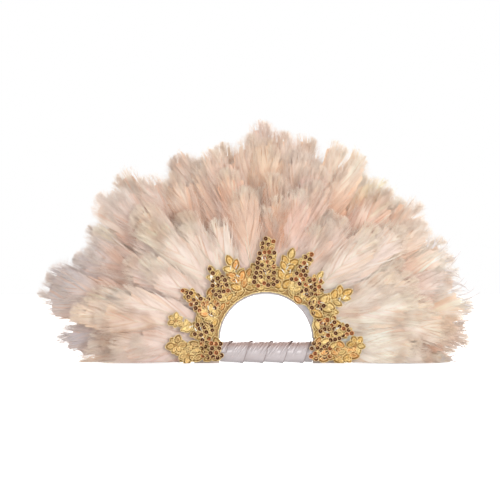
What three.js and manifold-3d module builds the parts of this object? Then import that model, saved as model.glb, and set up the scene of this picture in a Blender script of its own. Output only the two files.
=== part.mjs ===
// A half-moon feather hand fan. A stiff arch stands on a forked grip bar wound with satin ribbon.
// Three rows of plumes are glued to the arch by their quills, and gold lace covers the quill ends.
// Millimetres. +X is the viewer's right, +Z is up and the front faces -Y.
// The origin lies under the middle of the grip, on the surface that the fan stands on.

import * as THREE from "three";
import { mergeVertices } from "three/addons/utils/BufferGeometryUtils.js";
import Module from "manifold-3d";

// Driving dimensions of the arch and the grip
const OPENING_RADIUS = 56;
const BOARD_THICKNESS = 4;
const DOWEL_DIAMETER = 21;
const DOWEL_CHAMFER = 1.5;
const FORK_DEPTH = 10;
const LEG_MARGIN = 1.5;

// Driving dimensions of the satin ribbon, the edge binding, the tape and the back cover
const RIBBON_WIDTH = 32;
const RIBBON_PITCH = 24;
const RIBBON_THICKNESS = 0.7;
const RIBBON_LAP_GAP = 0.5;
const BINDING_THICKNESS = 0.7;
const BINDING_TURN_IN = 10;
const TAPE_WIDTH = 14;
const TAPE_THICKNESS = 0.6;
const TAPE_INSET = 6;
const BACK_COVER_THICKNESS = 1;

// Driving dimensions of the gold lace
const LACE_THICKNESS = 1;
const LACE_BAND_WIDTH = 24;
const LACE_INSET = 1;
const SCALLOP_DEPTH = 3;
const SCALLOP_COUNT = 11;
const LEAF_LENGTH = 17;
const LEAF_WIDTH = 8;
const STEM_WIDTH = 2.4;

// Driving dimensions of the plumes
const LONG_REACH = 268;
const FRONT_REACH = 226;
const BACK_REACH = 275;
const LONG_HALF_WIDTH = 28;
const FRONT_HALF_WIDTH = 26;
const BACK_HALF_WIDTH = 28;
const LONG_COUNT = 14;
const FRONT_COUNT = 13;
const QUILL_DIAMETER = 2.4;
const QUILL_TIP_DIAMETER = 0.9;
const FREE_QUILL_LENGTH = 2;
const VANE_THICKNESS = 0.8;
const VANE_CAMBER = 1.2;
const VANE_SWELL = 6;
const FULL_VANE_LENGTH = 75;
const SPLIT_DEPTH = 0.45;
const SPLIT_WIDTH = 5;
const BARB_RAKE = 0.55;
const TIP_CURL = 6;
const LOWEST_PLUME_ANGLE = -5;
const SHINGLE_GAP = 1.6;

// How far each plume reaches against the longest of its row, from the viewer's right to the left
const LONG_LENGTHS = [0.83, 1, 0.91, 0.93, 0.9, 0.94, 0.93, 0.98, 0.91, 0.92, 0.99, 0.93, 1, 0.84];
const FRONT_LENGTHS = [0.87, 0.98, 0.82, 0.95, 0.79, 0.97, 0.84, 1, 0.81, 0.96, 0.85, 0.99, 0.88];
const BACK_LENGTHS = [0.88, 0.89, 0.9, 0.86, 0.91, 0.9, 0.86, 0.88, 0.9, 0.94, 0.92, 1, 0.87];

// The glue line or stitch gap left between neighbours
const CLEARANCE = 0.3;

// How finely arcs are divided, per quarter turn
const ARC_STEPS = 12;

// Places of the grip, from its own axis, and of the arch above it
const dowelRadius = DOWEL_DIAMETER / 2;
const ribbonRise = ((RIBBON_LAP_GAP + RIBBON_THICKNESS) * RIBBON_WIDTH) / RIBBON_PITCH;
const gripRadius = dowelRadius + CLEARANCE + RIBBON_THICKNESS + ribbonRise;
const gripHeight = gripRadius + CLEARANCE;
const archHeight = gripHeight + gripRadius + LEG_MARGIN;

// Radii from the arch's centre
const tapeInner = OPENING_RADIUS + Math.max(BINDING_TURN_IN, FORK_DEPTH) + TAPE_INSET;
const archOuter = tapeInner + TAPE_WIDTH;
const quillRoot = tapeInner + CLEARANCE;
const vaneStart = archOuter + FREE_QUILL_LENGTH;
const bindingInner = OPENING_RADIUS - CLEARANCE - BINDING_THICKNESS;
const laceInner = OPENING_RADIUS + LACE_INSET;

// Depths from the middle of the board
const boardFace = BOARD_THICKNESS / 2;
const bindingFace = boardFace + CLEARANCE + BINDING_THICKNESS;
const quillRadius = QUILL_DIAMETER / 2;
const quillLevel = boardFace + CLEARANCE + quillRadius;
const tapeBackFace = quillLevel + quillRadius + CLEARANCE;
const tapeFrontFace = tapeBackFace + TAPE_THICKNESS;
const laceLevel = bindingFace + CLEARANCE;

const degrees = THREE.MathUtils.degToRad;

// Half rings stop this far above the arch's centre, clear of the grip
const clearAngle = degrees(2);

const wasm = await Module();
wasm.setup();

// Materials

function finish(color, roughness, metalness) {
  return new THREE.MeshStandardMaterial({ color, roughness, metalness });
}

const plywood = () => finish(0xb99b78, 0.8, 0);
const satin = () => finish(0xd5c6c6, 0.35, 0);
const tape = () => finish(0xdcc8b8, 0.8, 0);
const goldLace = () => finish(0xb98a45, 0.45, 0.3);
const plumage = () => finish(0xe6d3c6, 0.9, 0);

// Shape helpers

// A closed geometry as a solid that can be joined and cut
function solidOf(geometry) {
  const bare = geometry.clone();
  bare.deleteAttribute("normal");
  bare.deleteAttribute("uv");
  const merged = mergeVertices(bare, 1e-4);
  return new wasm.Manifold(
    new wasm.Mesh({
      numProp: 3,
      vertProperties: merged.attributes.position.array,
      triVerts: new Uint32Array(merged.index.array),
    }),
  );
}

function geometryOf(solid) {
  const mesh = solid.getMesh();
  const geometry = new THREE.BufferGeometry();
  geometry.setAttribute("position", new THREE.BufferAttribute(mesh.vertProperties, 3));
  geometry.setIndex(new THREE.BufferAttribute(mesh.triVerts, 1));
  geometry.computeVertexNormals();
  return geometry;
}

function boxBetween(low, high) {
  const size = new THREE.Vector3().subVectors(high, low);
  const middle = new THREE.Vector3().addVectors(low, high).multiplyScalar(0.5);
  return new THREE.BoxGeometry(size.x, size.y, size.z).translate(middle.x, middle.y, middle.z);
}

// A flat outline drawn in X and Z, as a plate that fills the depth from front to back
function plateGeometry(outline, front, back) {
  const geometry = new THREE.ExtrudeGeometry(outline, {
    depth: back - front,
    bevelEnabled: false,
    curveSegments: ARC_STEPS,
  });
  return geometry.rotateX(Math.PI / 2).translate(0, back, 0);
}

// A sector of a flat ring round the arch's centre
function ringSector(inner, outer, fromAngle, toAngle) {
  const sector = new THREE.Shape();
  sector.absarc(0, 0, outer, fromAngle, toAngle, false);
  sector.absarc(0, 0, inner, toAngle, fromAngle, true);
  sector.closePath();
  return sector;
}

// Rings of points joined into one closed skin, with a flat cap on each end
function loftGeometry(rings) {
  const sides = rings[0].length;
  const positions = rings.flat().flatMap((point) => point.toArray());
  const triangles = [];
  for (let i = 0; i + 1 < rings.length; i++) {
    for (let k = 0; k < sides; k++) {
      const a = i * sides + k;
      const b = i * sides + ((k + 1) % sides);
      triangles.push(a, b, a + sides, b, b + sides, a + sides);
    }
  }
  const last = (rings.length - 1) * sides;
  for (let k = 1; k + 1 < sides; k++) {
    triangles.push(0, k + 1, k);
    triangles.push(last, last + k, last + k + 1);
  }
  const geometry = new THREE.BufferGeometry();
  geometry.setAttribute("position", new THREE.Float32BufferAttribute(positions, 3));
  geometry.setIndex(triangles);
  geometry.computeVertexNormals();
  return geometry;
}

function part(name, geometry, material) {
  const mesh = new THREE.Mesh(geometry, material);
  mesh.name = name;
  return mesh;
}

function numbered(name, index) {
  return `${name}_${String(index + 1).padStart(2, "0")}`;
}

// Grip: everything is drawn round the bar's axis, which runs along X

// A turned bar with chamfered ends, slotted at each end to straddle a leg of the arch
function handleDowel() {
  const half = OPENING_RADIUS + FORK_DEPTH;
  const profile = [
    new THREE.Vector2(0, -half),
    new THREE.Vector2(dowelRadius - DOWEL_CHAMFER, -half),
    new THREE.Vector2(dowelRadius, -half + DOWEL_CHAMFER),
    new THREE.Vector2(dowelRadius, half - DOWEL_CHAMFER),
    new THREE.Vector2(dowelRadius - DOWEL_CHAMFER, half),
    new THREE.Vector2(0, half),
  ];
  const bar = new THREE.LatheGeometry(profile, 4 * ARC_STEPS).rotateZ(-Math.PI / 2);
  const slotSide = boardFace + CLEARANCE;
  const slot = boxBetween(
    new THREE.Vector3(OPENING_RADIUS - CLEARANCE, -slotSide, -DOWEL_DIAMETER),
    new THREE.Vector3(half + DOWEL_DIAMETER, slotSide, DOWEL_DIAMETER),
  );
  const oneFork = solidOf(bar).subtract(solidOf(slot));
  return geometryOf(oneFork.subtract(solidOf(slot.rotateZ(Math.PI))));
}

// A point of the ribbon: across is its place over the width, lift its place in the thickness
function ribbonPoint(start, turnAngle, across, lift) {
  const x = start + (RIBBON_PITCH * turnAngle) / (2 * Math.PI) + across * RIBBON_WIDTH;
  const radius = dowelRadius + CLEARANCE + lift * RIBBON_THICKNESS + across * ribbonRise;
  return new THREE.Vector3(x, -radius * Math.cos(turnAngle), radius * Math.sin(turnAngle));
}

// The least distance between one turn's inside and the outside of the next, on points round one turn
function ribbonSelfGap(start, stepsPerTurn) {
  const places = [0, 0.125, 0.25, 0.375, 0.5, 0.625, 0.75, 0.875, 1];
  let least = Infinity;
  for (let i = 0; i <= stepsPerTurn; i++) {
    const angle = (i / stepsPerTurn) * 2 * Math.PI;
    for (const lower of places) {
      const under = ribbonPoint(start, angle + 2 * Math.PI, lower, 1);
      for (const upper of places) {
        least = Math.min(least, under.distanceTo(ribbonPoint(start, angle, upper, 0)));
      }
    }
  }
  return least;
}

// Satin ribbon wound round the bar, each turn tucked under the last, and trimmed flush at both legs
function handleRibbon() {
  const stepsPerTurn = 24;
  const start = -bindingInner - RIBBON_PITCH;
  const turns = Math.ceil((2 * bindingInner) / RIBBON_PITCH) + 1;
  const rings = [];
  for (let i = 0; i <= turns * stepsPerTurn; i++) {
    const angle = (i / stepsPerTurn) * 2 * Math.PI;
    rings.push([
      ribbonPoint(start, angle, 0, 0),
      ribbonPoint(start, angle, 0, 1),
      ribbonPoint(start, angle, 1, 1),
      ribbonPoint(start, angle, 1, 0),
    ]);
  }
  const gap = ribbonSelfGap(start, stepsPerTurn);
  console.log(`handle ribbon: least gap to itself ${gap.toFixed(2)} mm`);
  const reach = 2 * gripRadius;
  const trim = boxBetween(
    new THREE.Vector3(-bindingInner, -reach, -reach),
    new THREE.Vector3(bindingInner, reach, reach),
  );
  return geometryOf(solidOf(loftGeometry(rings)).intersect(solidOf(trim)));
}

// Arch: everything is drawn round the arch's centre

// The board: a half ring on two straight legs that stand on the base line
function archBoard() {
  const outline = new THREE.Shape();
  outline.moveTo(archOuter, -archHeight);
  outline.lineTo(archOuter, 0);
  outline.absarc(0, 0, archOuter, 0, Math.PI, false);
  outline.lineTo(-archOuter, -archHeight);
  outline.lineTo(-OPENING_RADIUS, -archHeight);
  outline.lineTo(-OPENING_RADIUS, 0);
  outline.absarc(0, 0, OPENING_RADIUS, Math.PI, 0, true);
  outline.lineTo(OPENING_RADIUS, -archHeight);
  outline.closePath();
  return plateGeometry(outline, -boardFace, boardFace);
}

// Satin strip folded over the board's inner edge: a half ring with a slot for the board
function edgeBinding() {
  const outer = OPENING_RADIUS + BINDING_TURN_IN;
  const skin = ringSector(bindingInner, outer, clearAngle, Math.PI - clearAngle);
  const slot = ringSector(OPENING_RADIUS - CLEARANCE, outer + BINDING_TURN_IN, 0, Math.PI);
  const slotFace = boardFace + CLEARANCE;
  const folded = solidOf(plateGeometry(skin, -bindingFace, bindingFace));
  return geometryOf(folded.subtract(solidOf(plateGeometry(slot, -slotFace, slotFace))));
}

// Tape sewn over the quills of the front row
function quillTape() {
  const past = degrees(LOWEST_PLUME_ANGLE);
  const sector = ringSector(tapeInner, archOuter, past, Math.PI - past);
  return plateGeometry(sector, -tapeFrontFace, -tapeBackFace);
}

// Satin-faced half ring over the quills at the back
function backCover() {
  const sector = ringSector(OPENING_RADIUS, archOuter, clearAngle, Math.PI - clearAngle);
  return plateGeometry(sector, tapeBackFace, tapeBackFace + BACK_COVER_THICKNESS);
}

// Plumes: each is drawn along X from the arch's centre and then turned to its place

// How far the rows have parted at a radius: 0 on the board and 1 where the vanes are full
function spreadAt(radius) {
  const share = THREE.MathUtils.clamp((radius - archOuter) / FULL_VANE_LENGTH, 0, 1);
  return Math.sin((share * Math.PI) / 2);
}

// The vane's share of its full half width, from the end of the bare quill at 0 to the tip at 1
function vaneProfile(along) {
  return Math.sin(Math.PI * Math.min(along, 1)) ** 0.5;
}

// A row's axis angles, evenly spread over the half moon; inset is in pitches from either end
function makeRow(name, count, inset, reach, lengths, halfWidth, curl) {
  const span = degrees(180 - 2 * LOWEST_PLUME_ANGLE);
  const pitch = span / (count - 1 + 2 * inset);
  const angleOf = (i) => degrees(LOWEST_PLUME_ANGLE) + pitch * (i + inset);
  const angles = Array.from({ length: count }, (_, i) => angleOf(i));
  return { name, pitch, angles, reach, lengths, halfWidth, curl };
}

// The long row and the back row share the back of the board, so the back quills lie between the long ones
const longRow = makeRow("long_plume", LONG_COUNT, 0, LONG_REACH, LONG_LENGTHS, LONG_HALF_WIDTH, 0);
const frontRow = makeRow(
  "front_plume",
  FRONT_COUNT,
  0,
  FRONT_REACH,
  FRONT_LENGTHS,
  FRONT_HALF_WIDTH,
  -TIP_CURL,
);
const backRow = makeRow(
  "back_plume",
  LONG_COUNT - 1,
  0.5,
  BACK_REACH,
  BACK_LENGTHS,
  BACK_HALF_WIDTH,
  TIP_CURL,
);

// How far a vane stands off its row at a place: it climbs past its neighbour and bends back at its edges
function vaneRise(row, along, across) {
  const climb = (VANE_THICKNESS + VANE_SWELL / 4 + SHINGLE_GAP) / row.pitch;
  return climb * Math.atan2(across, along) + VANE_CAMBER * (across / row.halfWidth) ** 2;
}

// How far the fluff swells to either side of a vane: most along the quill and nothing at the edges
function vaneSwell(vaneShare, edgeShare) {
  return (VANE_SWELL / 2) * vaneProfile(vaneShare) * (1 - edgeShare ** 2);
}

// Half the depth that a row takes up where its vanes are full
function rowHalfDepth(row) {
  let deepest = 0;
  for (let share = 0; share <= 1; share += 0.05) {
    const station = vaneStart + (row.reach - vaneStart) * share;
    const width = row.halfWidth * vaneProfile(share);
    for (let edge = 0; edge <= 1; edge += 0.1) {
      const depth = vaneRise(row, station, width * edge) + vaneSwell(share, edge);
      deepest = Math.max(deepest, depth);
    }
  }
  return deepest + VANE_THICKNESS + CLEARANCE;
}

longRow.levelAt = (radius) => quillLevel * (1 - spreadAt(radius));
const frontOffset = rowHalfDepth(longRow) + rowHalfDepth(frontRow);
frontRow.levelAt = (radius) => -quillLevel - frontOffset * spreadAt(radius);
const backOffset = rowHalfDepth(longRow) + rowHalfDepth(backRow);
backRow.levelAt = (radius) => quillLevel + backOffset * spreadAt(radius);

// The stations along a plume: the bare quill, even steps up the vane, and three steps at every split
function plumeStations(reach, splits) {
  const vaneSteps = 8;
  const stations = [quillRoot, archOuter];
  for (let i = 1; i <= vaneSteps; i++) {
    stations.push(vaneStart + ((reach - vaneStart) * i) / vaneSteps);
  }
  for (const split of Object.values(splits)) {
    const middle = vaneStart + (reach - vaneStart) * split;
    stations.push(middle - SPLIT_WIDTH / 2, middle, middle + SPLIT_WIDTH / 2);
  }
  return stations.sort((a, b) => a - b);
}

// One plume: a tapering quill with a cambered, swelling vane on each side, raked forward along its barbs.
// splits holds the share of the vane's length at which the barbs have parted on either side.
function plumeGeometry(row, reach, splits) {
  const sides = 8;
  const rings = plumeStations(reach, splits).map((station) => {
    const vaneShare = Math.max(0, (station - vaneStart) / (reach - vaneStart));
    const ridge = THREE.MathUtils.lerp(QUILL_DIAMETER, QUILL_TIP_DIAMETER, vaneShare) / 2;
    const ring = [];
    for (let k = 0; k < sides; k++) {
      const turn = (k / sides) * 2 * Math.PI;
      const split = Math.cos(turn) > 0 ? splits.left : splits.right;
      const parted = Math.abs(vaneShare - split) < 1e-6 ? 1 - SPLIT_DEPTH : 1;
      const vane = row.halfWidth * vaneProfile(vaneShare) * parted;
      const across = Math.cos(turn) * Math.max(vane, ridge);
      const onRidge = Math.abs(Math.cos(turn)) < 0.1;
      const halfThickness = onRidge || vane < ridge ? ridge : Math.min(VANE_THICKNESS / 2, ridge);
      const along = station + BARB_RAKE * Math.max(0, Math.abs(across) - ridge);
      const radius = Math.hypot(along, across);
      const spread = spreadAt(radius);
      const level = row.levelAt(radius) + row.curl * vaneShare ** 3 + vaneRise(row, along, across) * spread;
      const swell = vaneSwell(vaneShare, Math.cos(turn)) * spread;
      const y = level - Math.sin(turn) * halfThickness - Math.sign(Math.sin(turn)) * swell;
      ring.push(new THREE.Vector3(along, y, across));
    }
    return ring;
  });
  return loftGeometry(rings);
}

// A plume that would hang below the base line is trimmed straight along it
function trimmedAtBase(geometry, axisAngle) {
  const placed = geometry.clone().rotateY(-axisAngle);
  placed.computeBoundingBox();
  const { min, max } = placed.boundingBox;
  if (min.z >= -archHeight) {
    return geometry;
  }
  const below = boxBetween(
    new THREE.Vector3(min.x - CLEARANCE, min.y - CLEARANCE, min.z - CLEARANCE),
    new THREE.Vector3(max.x + CLEARANCE, max.y + CLEARANCE, -archHeight),
  );
  const kept = solidOf(geometry).subtract(solidOf(below.rotateY(axisAngle))).decompose();
  kept.sort((a, b) => b.volume() - a.volume());
  return geometryOf(kept[0]);
}

// The plumes of a row, from the viewer's right to the left
function plumesOf(row) {
  return row.angles.map((angle, i) => {
    const reach = row.reach * row.lengths[i % row.lengths.length];
    const splits = { left: 0.43 + 0.13 * (i % 3), right: 0.49 + 0.13 * ((i + 1) % 3) };
    const geometry = trimmedAtBase(plumeGeometry(row, reach, splits), angle);
    const plume = part(numbered(row.name, i), geometry, plumage());
    plume.rotation.y = -angle;
    return plume;
  });
}

// Gold lace: it lies on a shallow cone from the edge binding out over the tape and the front row

// The least slope at which the cone clears the tape and every plume that a spray can reach
function coneSlope() {
  const laceReach = laceInner + LACE_BAND_WIDTH + 3 * LEAF_LENGTH;
  let slope = (tapeFrontFace + CLEARANCE - laceLevel) / (tapeInner - laceInner);
  for (let radius = archOuter; radius <= laceReach; radius += 1) {
    const rowDepth = quillRadius + rowHalfDepth(frontRow) * spreadAt(radius);
    const plumeFront = rowDepth - frontRow.levelAt(radius);
    slope = Math.max(slope, (plumeFront + CLEARANCE - laceLevel) / (radius - laceInner));
  }
  return slope;
}

// Bends a flat lace mesh, already set in its place, onto the cone
function drapeOnCone(mesh) {
  const slope = coneSlope();
  const points = mesh.geometry.attributes.position;
  const place = new THREE.Vector3();
  mesh.updateMatrix();
  for (let i = 0; i < points.count; i++) {
    place.fromBufferAttribute(points, i).applyMatrix4(mesh.matrix);
    points.setY(i, points.getY(i) - slope * (Math.hypot(place.x, place.z) - laceInner));
  }
  mesh.geometry.computeVertexNormals();
  return mesh;
}

// The net ground that carries the sprays: a band round the opening with a scalloped outer edge
function laceBand() {
  const stepsPerScallop = 4;
  const steps = SCALLOP_COUNT * stepsPerScallop;
  const rings = [];
  for (let i = 0; i <= steps; i++) {
    const angle = clearAngle + ((Math.PI - 2 * clearAngle) * i) / steps;
    const scallop = SCALLOP_DEPTH * (Math.abs(Math.sin((Math.PI * i) / stepsPerScallop)) - 1);
    const outer = laceInner + LACE_BAND_WIDTH + scallop;
    const pointAt = (radius, y) =>
      new THREE.Vector3(radius * Math.cos(angle), y, radius * Math.sin(angle));
    rings.push([
      pointAt(laceInner, -laceLevel),
      pointAt(laceInner, -laceLevel - LACE_THICKNESS),
      pointAt(outer, -laceLevel - LACE_THICKNESS),
      pointAt(outer, -laceLevel),
    ]);
  }
  return drapeOnCone(part("lace_band", loftGeometry(rings), goldLace()));
}

// A pointed leaf of the given size, its root at a place along the stem
function leafSolid(length, width, heading, stemPlace) {
  const leaf = new THREE.Shape();
  leaf.moveTo(0, 0);
  leaf.quadraticCurveTo(length * 0.45, width, length, 0);
  leaf.quadraticCurveTo(length * 0.45, -width, 0, 0);
  const plate = new THREE.ExtrudeGeometry(leaf, {
    depth: LACE_THICKNESS,
    bevelEnabled: false,
    curveSegments: 3,
  });
  return solidOf(plate.rotateZ(heading).translate(stemPlace, 0, 0));
}

// One lace spray: leaves in staggered pairs along a stem, the last one at its tip.
// Its root is at the origin, its stem runs along X and its front faces -Y.
function sprayGeometry(length) {
  const stemLength = length - LEAF_LENGTH * 0.8;
  const pairs = Math.max(2, Math.round(stemLength / (LEAF_LENGTH * 0.8)));
  const stem = new THREE.BoxGeometry(stemLength + STEM_WIDTH, STEM_WIDTH, LACE_THICKNESS);
  let solid = solidOf(stem.translate(stemLength / 2, 0, LACE_THICKNESS / 2));
  solid = solid.add(leafSolid(LEAF_LENGTH, LEAF_WIDTH, 0, stemLength - STEM_WIDTH));
  for (let i = 0; i < pairs; i++) {
    const share = (i + 0.35) / pairs;
    const size = 1 - 0.25 * share;
    for (const side of [-1, 1]) {
      const stemPlace = stemLength * share + (side > 0 ? LEAF_LENGTH * 0.16 : 0);
      const heading = side * degrees(46);
      solid = solid.add(leafSolid(LEAF_LENGTH * size, LEAF_WIDTH * size, heading, stemPlace));
    }
  }
  return geometryOf(solid).rotateX(Math.PI / 2);
}

// The sprays sewn on the band, from the viewer's right to the left.
// at is the root's angle round the arch and heading the way that the stem points, both in degrees.
// size is the length against the longest spray.
const BAND_SPRAYS = [
  { at: 3, heading: 18, size: 0.69 },
  { at: 35, heading: 20, size: 0.9 },
  { at: 46, heading: 60, size: 0.72 },
  { at: 60, heading: 72, size: 0.9 },
  { at: 73, heading: 78, size: 0.86 },
  { at: 90, heading: 93, size: 1 },
  { at: 115, heading: 111, size: 0.79 },
  { at: 136, heading: 114, size: 0.83 },
  { at: 157, heading: 138, size: 0.93 },
  { at: 177, heading: 155, size: 0.79 },
];
const LONGEST_SPRAY = 58;
const BAND_SPRAY_ROOT = 7;
const ROOT_BEND_LENGTH = 5;

// Bends the root of a spray back by a depth, so that it is sewn down on what lies behind its leaves
function sewRootDown(geometry, depth) {
  const points = geometry.attributes.position;
  for (let i = 0; i < points.count; i++) {
    const lifted = THREE.MathUtils.clamp(points.getX(i) / ROOT_BEND_LENGTH, 0, 1);
    points.setY(i, points.getY(i) + depth * (1 - lifted));
  }
  return geometry;
}

// Every other spray lies a layer further forward, so that the leaves of neighbours can cross
function bandSprays() {
  const layerDepth = LACE_THICKNESS + CLEARANCE;
  return BAND_SPRAYS.map((spray, i) => {
    const layer = i % 2;
    const geometry = sewRootDown(sprayGeometry(LONGEST_SPRAY * spray.size), layer * layerDepth);
    const mesh = part(numbered("lace_spray", i), geometry, goldLace());
    const root = laceInner + BAND_SPRAY_ROOT;
    const angle = degrees(spray.at);
    const level = laceLevel + layerDepth + layer * layerDepth;
    mesh.position.set(root * Math.cos(angle), -level, root * Math.sin(angle));
    mesh.rotation.y = -degrees(spray.heading);
    return drapeOnCone(mesh);
  });
}

// The two sprays sewn over the ends of the ribbon, which hide the forks
const GRIP_SPRAY_LENGTH = 46;
const GRIP_SPRAY_LAP = 9;

function gripSprays() {
  return [-1, 1].map((side) => {
    const name = side < 0 ? "grip_spray_left" : "grip_spray_right";
    const mesh = part(name, sprayGeometry(GRIP_SPRAY_LENGTH), goldLace());
    mesh.position.set(side * (OPENING_RADIUS - GRIP_SPRAY_LAP), -gripRadius - CLEARANCE, 0);
    mesh.rotation.y = side < 0 ? Math.PI : 0;
    return mesh;
  });
}

// Assembly

const grip = new THREE.Group();
grip.position.z = gripHeight;
grip.add(part("handle_dowel", handleDowel(), plywood()));
grip.add(part("handle_ribbon", handleRibbon(), satin()));
grip.add(...gripSprays());

const arch = new THREE.Group();
arch.position.z = archHeight;
arch.add(part("arch_board", archBoard(), plywood()));
arch.add(part("edge_binding", edgeBinding(), satin()));
arch.add(part("quill_tape", quillTape(), tape()));
arch.add(part("back_cover", backCover(), satin()));
arch.add(...[longRow, frontRow, backRow].flatMap(plumesOf));
arch.add(laceBand());
arch.add(...bandSprays());

const fan = new THREE.Group();
fan.add(grip, arch);

export default fan;
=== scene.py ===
"""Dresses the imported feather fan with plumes, satin and gold lace, and sets its light and camera."""

import math

import bpy
import numpy as np
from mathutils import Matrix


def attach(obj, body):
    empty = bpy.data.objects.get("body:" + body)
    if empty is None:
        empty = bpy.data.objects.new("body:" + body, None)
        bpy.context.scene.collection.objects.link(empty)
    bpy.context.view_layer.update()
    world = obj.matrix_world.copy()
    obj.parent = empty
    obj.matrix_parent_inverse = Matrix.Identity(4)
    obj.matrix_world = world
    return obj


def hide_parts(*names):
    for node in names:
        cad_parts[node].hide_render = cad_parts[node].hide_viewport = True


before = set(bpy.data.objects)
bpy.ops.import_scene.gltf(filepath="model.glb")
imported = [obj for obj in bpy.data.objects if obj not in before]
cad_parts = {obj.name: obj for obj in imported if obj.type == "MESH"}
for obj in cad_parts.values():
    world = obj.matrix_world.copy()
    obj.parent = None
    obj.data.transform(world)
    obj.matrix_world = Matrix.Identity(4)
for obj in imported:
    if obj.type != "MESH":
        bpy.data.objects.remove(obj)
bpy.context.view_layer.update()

# Lengths are in millimetres until a mesh is made, and radii are from the arch's centre
MM = 0.001
FULL_TURN = 2 * math.pi
TINY = 1e-9
ARCH_HEIGHT = 28.0
ARCH_OUTER = 86.0
QUILL_ROOT = 72.3
VANE_START = 88.0
BARB_START = 79.0
FULL_VANE_LENGTH = 75.0
QUILL_LEVEL = 3.5
GRIP_HEIGHT = 13.4
LACE_INNER = 57.0
LACE_LEVEL = 3.3
LACE_SLOPE = 0.184
ARC_START = 2
ARC_END = 178
TO_FRONT = np.array([0.0, -1.0, 0.0])
WHITE = (1, 1, 1)

# Seeds of the random draws, so that every run makes the same fan
RIBBON_SEED = 41
BINDING_SEED = 51
TAPE_SEED = 52
BACK_SEED = 53
STITCH_SEED = 54
LONG_PLUME_SEED = 100
BACK_PLUME_SEED = 200
FRONT_PLUME_SEED = 300
SPRAY_SEED = 600
GRIP_SEED = 640
BAND_SEED = 660
VANE_SEED = 1000


class Values:
    """A set of values under plain names."""

    def __init__(self, **values):
        self.__dict__.update(values)


def linear(red, green, blue):
    """A colour written in steps of 255, as the linear numbers that shaders take."""
    steps = np.array([red, green, blue]) / 255
    return np.where(steps <= 0.04045, steps / 12.92, ((steps + 0.055) / 1.055) ** 2.4)


def smooth(low, high, value):
    """0 below low, 1 above high, and an easy curve between them."""
    share = np.clip((value - low) / (high - low), 0, 1)
    return share * share * (3 - 2 * share)


def blend(first, second, share):
    """Two colours mixed by one share or an array of shares."""
    return first + (second - first) * np.asarray(share)[..., None]


def no_less(value, least, softness):
    """value held above least, with a soft bend instead of a corner."""
    return least + softness * np.logaddexp(0, (value - least) / softness)


def unit(vectors, least=0.0):
    """Vectors of length 1. least, if given, keeps those of no length from a division by nothing."""
    return vectors / (np.linalg.norm(vectors, axis=-1, keepdims=True) + least)


def direction(turn):
    """The way that an angle points in the flat."""
    return np.array([math.cos(turn), math.sin(turn)])


# Meshes and pieces

# On strands, the points of a root's ring have marks from ROOT_MARK up, and edges are sharp round a root
# and along the two side corners, which have marks of 1 and 2
ROOT_MARK = 10
TIP_MARK = 5


def make_mesh(name, points, faces, tones=None, chart=None, finishes=None, grain=None, ridge=None):
    """A mesh from points in millimetres and arrays of faces with three or four corners."""
    mesh = bpy.data.meshes.new(name)
    mesh.vertices.add(len(points))
    mesh.vertices.foreach_set("co", (points * MM).astype(np.float32).ravel())
    corners = np.concatenate([group.ravel() for group in faces]).astype(np.int32)
    sizes = np.concatenate([np.full(len(group), group.shape[1]) for group in faces])
    mesh.loops.add(len(corners))
    mesh.loops.foreach_set("vertex_index", corners)
    mesh.polygons.add(len(sizes))
    mesh.polygons.foreach_set("loop_start", (np.cumsum(sizes) - sizes).astype(np.int32))
    mesh.polygons.foreach_set("use_smooth", np.ones(len(sizes), bool))
    if finishes is not None:
        mesh.polygons.foreach_set("material_index", finishes.astype(np.int32))
    mesh.update(calc_edges=True)
    if tones is not None:
        layer = mesh.attributes.new("tone", "FLOAT_COLOR", "POINT")
        opaque = np.concatenate([tones, np.ones((len(tones), 1))], axis=1)
        layer.data.foreach_set("color", opaque.astype(np.float32).ravel())
    for title, places in (("OFBake", chart), ("barb", grain)):
        if places is not None:
            layer = mesh.uv_layers.new(name=title)
            layer.data.foreach_set("uv", places[corners].astype(np.float32).ravel())
    if ridge is not None:
        ends = np.empty(2 * len(mesh.edges), np.int32)
        mesh.edges.foreach_get("vertices", ends)
        near, far = np.sort(ridge[ends.reshape(-1, 2)], axis=1).T
        sharp = (near >= ROOT_MARK) | ((near > 0) & (near % ROOT_MARK == far % ROOT_MARK))
        sharp |= (near > 0) & (far == TIP_MARK)
        layer = mesh.attributes.new("sharp_edge", "BOOLEAN", "EDGE")
        layer.data.foreach_set("value", sharp)
    return mesh


def add_piece(name, mesh, materials, node):
    """Puts a mesh in the scene as a piece that rides the fan and stands for a CAD node."""
    piece = bpy.data.objects.new(name, mesh)
    bpy.context.scene.collection.objects.link(piece)
    for finish in materials:
        mesh.materials.append(finish)
    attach(piece, "root")
    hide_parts(node)
    return piece


def tube_faces(rows, columns):
    """Four-cornered faces over a grid of points whose last column is joined to the first."""
    row = np.arange(rows - 1)[:, None]
    column = np.arange(columns)[None, :]
    after = (column + 1) % columns
    corners = [row * columns + column, row * columns + after]
    corners += [(row + 1) * columns + after, (row + 1) * columns + column]
    return np.stack(corners, axis=-1).reshape(-1, 4)


def sheet_solid(outer, inner):
    """The points and faces of a closed sheet between two grids of points."""
    rows, columns = outer.shape[:2]
    ring = np.concatenate([outer, inner[:, ::-1]], axis=1)
    count = 2 * columns
    near = np.arange(columns - 1)
    cap = np.stack([near, count - 1 - near, count - 2 - near, near + 1], axis=1)
    faces = [tube_faces(rows, count), cap, cap[:, ::-1] + (rows - 1) * count]
    return ring.reshape(-1, 3), faces


def both_sides(values):
    """Values on a grid, repeated in the order of the points of a closed sheet."""
    return np.concatenate([values, values[:, ::-1]], axis=1).reshape(-1, values.shape[-1])


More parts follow.
